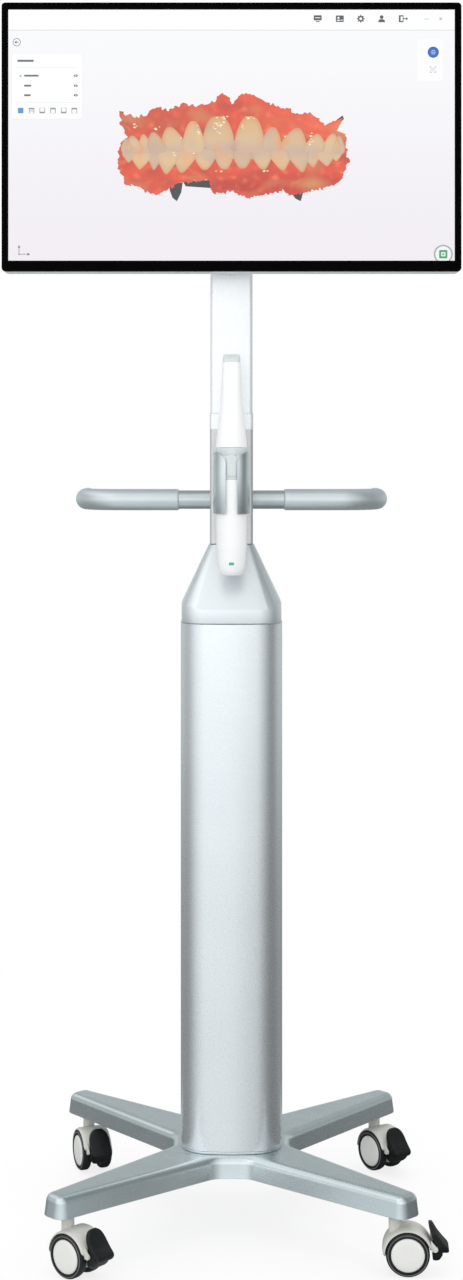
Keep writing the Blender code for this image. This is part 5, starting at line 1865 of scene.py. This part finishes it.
@dataclass
class Studio:
    """Floor, lamps, world and camera."""

    camera_at: Point = (0.0, -2.682, 0.940)
    lens: float = 62.3
    shift: Flat = (0.0, -0.156)
    floor_half: float = 14.0
    around: tuple[Flat, ...] = ((-180, 0.44), (-140, 0.52), (-112, 0.34), (-88, 0.38), (-62, 0.82), (-30, 1.0),
                                (0, 1.05), (16, 0.80), (42, 0.60), (70, 0.12), (92, 0.14), (122, 0.52), (180, 0.44))
    screen_light: float = 1.48
    low_light: float = 0.6
    front_ceiling: float = 0.4
    rear_ceiling: float = 0.6
    floor_light: float = 0.80
    floor_fall: float = 2.3
    dim_cast: Colour = (0.88, 0.985, 1.0)
    floor_cast: Colour = (0.93, 0.985, 1.0)
    floor_afar: float = 1.16
    left_light: float = 0.55
    matt_light: float = 0.92

    def build(self) -> int:
        """Sets up the floor, light and camera.

        Returns:
            How many lamps there are.
        """
        self.build_floor()
        self.build_world()
        lamps = (
            ("key", (-0.6, -3.2, 1.9), (0.0, 0.0, 0.9), 2.2, 33.0),
            ("above", (0.0, 0.0, 3.2), (0.0, 0.0, 0.8), 1.4, 12.0),
            ("rear", (0.5, 2.8, 2.0), (0.0, 0.0, 0.9), 1.6, 16.0),
        )
        for name, at, aim, size, power in lamps:
            self.add_lamp(name, at, aim, size, power)
        self.add_camera()
        view = bpy.context.scene.view_settings
        view.view_transform = "Standard"
        return len(lamps)

    def build_floor(self) -> None:
        """A plain pale floor that keeps the cart's shadow."""
        form = bmesh.new()
        half = self.floor_half
        corners = [form.verts.new(point) for point in ((-half, -half, 0), (half, -half, 0), (half, half, 0), (-half, half, 0))]
        form.faces.new(corners)
        bmesh.ops.subdivide_edges(form, edges=form.edges[:], cuts=6, use_grid_fill=True)
        mesh = bpy.data.meshes.new("floor")
        form.to_mesh(mesh)
        form.free()
        floor = bpy.data.objects.new("floor", mesh)
        bpy.context.scene.collection.objects.link(floor)
        made = bpy.data.materials.new("studio_floor")
        made.use_nodes = True
        tree = Tree(made.node_tree)
        shader = made.node_tree.nodes["Principled BSDF"]
        tree.feed(shader, "Roughness", 0.7)
        path = tree.add("LightPath")
        pale = tree.blend(tree.noise(0.8, 3.0), ink(240, 240, 240), ink(246, 246, 246))
        tree.feed(shader, "Base Color", tree.blend(path.outputs["Is Camera Ray"], ink(200, 203, 204), pale))
        place = tree.add("TexCoord").outputs["Object"]
        distance = tree.add("VectorMath", operation="LENGTH")
        tree.feed(distance, 0, place)
        level = self.light_around(tree, place)
        close = tree.maths("MULTIPLY", tree.maths("POWER", level, self.floor_fall), self.floor_light)
        afar = tree.maths("MULTIPLY", level, self.floor_afar)
        mirrored = tree.blend(tree.span(distance.outputs["Value"], 0.8, 6.0), close, afar)
        glow = tree.add("Emission")
        tree.feed(glow, "Color", tree.blend(path.outputs["Is Glossy Ray"], (1.0, 1.0, 1.0), self.floor_cast))
        tree.feed(glow, "Strength", tree.span(path.outputs["Is Glossy Ray"], 0.0, 1.0, 1.0, mirrored))
        near = tree.span(distance.outputs["Value"], 0.25, 1.3, 0.8, 1.0)
        share = tree.maths("MAXIMUM", tree.maths("MULTIPLY", near, path.outputs["Is Camera Ray"]),
                           tree.maths("MULTIPLY", path.outputs["Is Glossy Ray"], 0.85))
        mix = tree.add("MixShader")
        tree.feed(mix, 0, share)
        tree.feed(mix, 1, shader.outputs[0])
        tree.feed(mix, 2, glow.outputs[0])
        tree.feed(made.node_tree.nodes["Material Output"], "Surface", mix.outputs[0])
        mesh.materials.append(made)

    def light_around(self, tree: Tree, way: bpy.types.NodeSocket) -> bpy.types.NodeSocket:
        """How bright the studio is in each direction round the cart: white screens, with a dark flag at each side.

        Args:
            tree: The tree to build in.
            way: The direction, or a place on the floor.

        Returns:
            The socket that holds the level.
        """
        parts = tree.add("SeparateXYZ", Vector=way)
        turn = tree.maths("ARCTAN2", parts.outputs["X"], tree.maths("MULTIPLY", parts.outputs["Y"], -1.0))
        place = tree.maths("ADD", tree.maths("DIVIDE", turn, 2 * pi), 0.5)
        return tree.ramp(place, tuple((angle / 360 + 0.5, level) for angle, level in self.around))

    def build_world(self) -> None:
        """Screens round the cart for metal to mirror, a dimmer light for matt surfaces, and white for the camera."""
        world = bpy.context.scene.world or bpy.data.worlds.new("studio")
        bpy.context.scene.world = world
        world.use_nodes = True
        tree = Tree(world.node_tree)
        way = tree.add("TexCoord").outputs["Generated"]
        path = tree.add("LightPath")
        parts = tree.add("SeparateXYZ", Vector=way)
        rise = tree.span(parts.outputs["Z"], -0.34, -0.04, self.low_light, 1.0)
        over = tree.span(parts.outputs["Y"], -0.2, 0.7, self.front_ceiling, self.rear_ceiling)
        over = tree.maths("MULTIPLY", over, tree.span(parts.outputs["Z"], 0.12, 0.4))
        ceiling = tree.maths("SUBTRACT", self.screen_light, over)
        screens = tree.maths("MULTIPLY", self.light_around(tree, way), tree.maths("MULTIPLY", rise, ceiling))
        glint = tree.maths("MULTIPLY", tree.span(parts.outputs["Z"], 0.4, 0.6), tree.span(parts.outputs["X"], -0.3, -0.6))
        screens = tree.maths("ADD", screens, tree.maths("MULTIPLY", glint, self.left_light))
        even = tree.maths("MULTIPLY", path.outputs["Is Diffuse Ray"], self.matt_light)
        mirrored = tree.maths("MULTIPLY", path.outputs["Is Glossy Ray"], screens)
        seen = tree.maths("MAXIMUM", path.outputs["Is Camera Ray"], path.outputs["Is Transmission Ray"])
        back = world.node_tree.nodes["Background"]
        cast = tree.blend(tree.span(screens, 0.1, 1.0), self.dim_cast, (1.0, 1.0, 1.0))
        tree.feed(back, "Color", tree.blend(path.outputs["Is Glossy Ray"], (1.0, 1.0, 1.0), cast))
        tree.feed(back, "Strength", tree.maths("MAXIMUM", seen, tree.maths("ADD", mirrored, even)))

    def add_lamp(self, name: str, at: Point, aim: Point, size: float, power: float) -> None:
        """A soft box.

        Args:
            name: The lamp's name.
            at: Where it stands.
            aim: Where it points.
            size: Its side, in metres.
            power: Its power, in watts.
        """
        data = bpy.data.lights.new(name, "AREA")
        data.shape = "SQUARE"
        data.size = size
        data.energy = power
        lamp = bpy.data.objects.new(name, data)
        lamp.visible_glossy = False
        lamp.location = at
        lamp.rotation_euler = (Vector(aim) - Vector(at)).to_track_quat("-Z", "Y").to_euler()
        bpy.context.scene.collection.objects.link(lamp)

    def add_camera(self) -> None:
        """The camera, level and straight in front."""
        data = bpy.data.cameras.new("camera")
        data.lens = self.lens
        data.sensor_width = 36.0
        data.shift_x, data.shift_y = self.shift
        camera = bpy.data.objects.new("camera", data)
        camera.location = self.camera_at
        camera.rotation_euler = (radians(90), 0, 0)
        bpy.context.scene.collection.objects.link(camera)
        bpy.context.scene.camera = camera


def main() -> None:
    """Builds everything in order and reports it."""
    logging.basicConfig(level=logging.INFO, format="%(name)s: %(message)s")
    log.info("stand: %d pieces", Stand().build())
    for name, side_x, side_y, heading in (("front_left", -1, -1, -40.0), ("front_right", 1, -1, -3.0),
                                          ("rear_left", -1, 1, -69.0), ("rear_right", 1, 1, -55.0)):
        log.info("%s castor: %d pieces", name, Castor(name, side_x, side_y, heading).build())
    log.info("handle: %d pieces", Handle().build())
    log.info("handpiece and cradle: %d pieces", Handpiece().build())
    log.info("display: %d pieces", Display().build())
    log.info("studio: %d lamps", Studio().build())


if __name__ == "__main__":
    main()
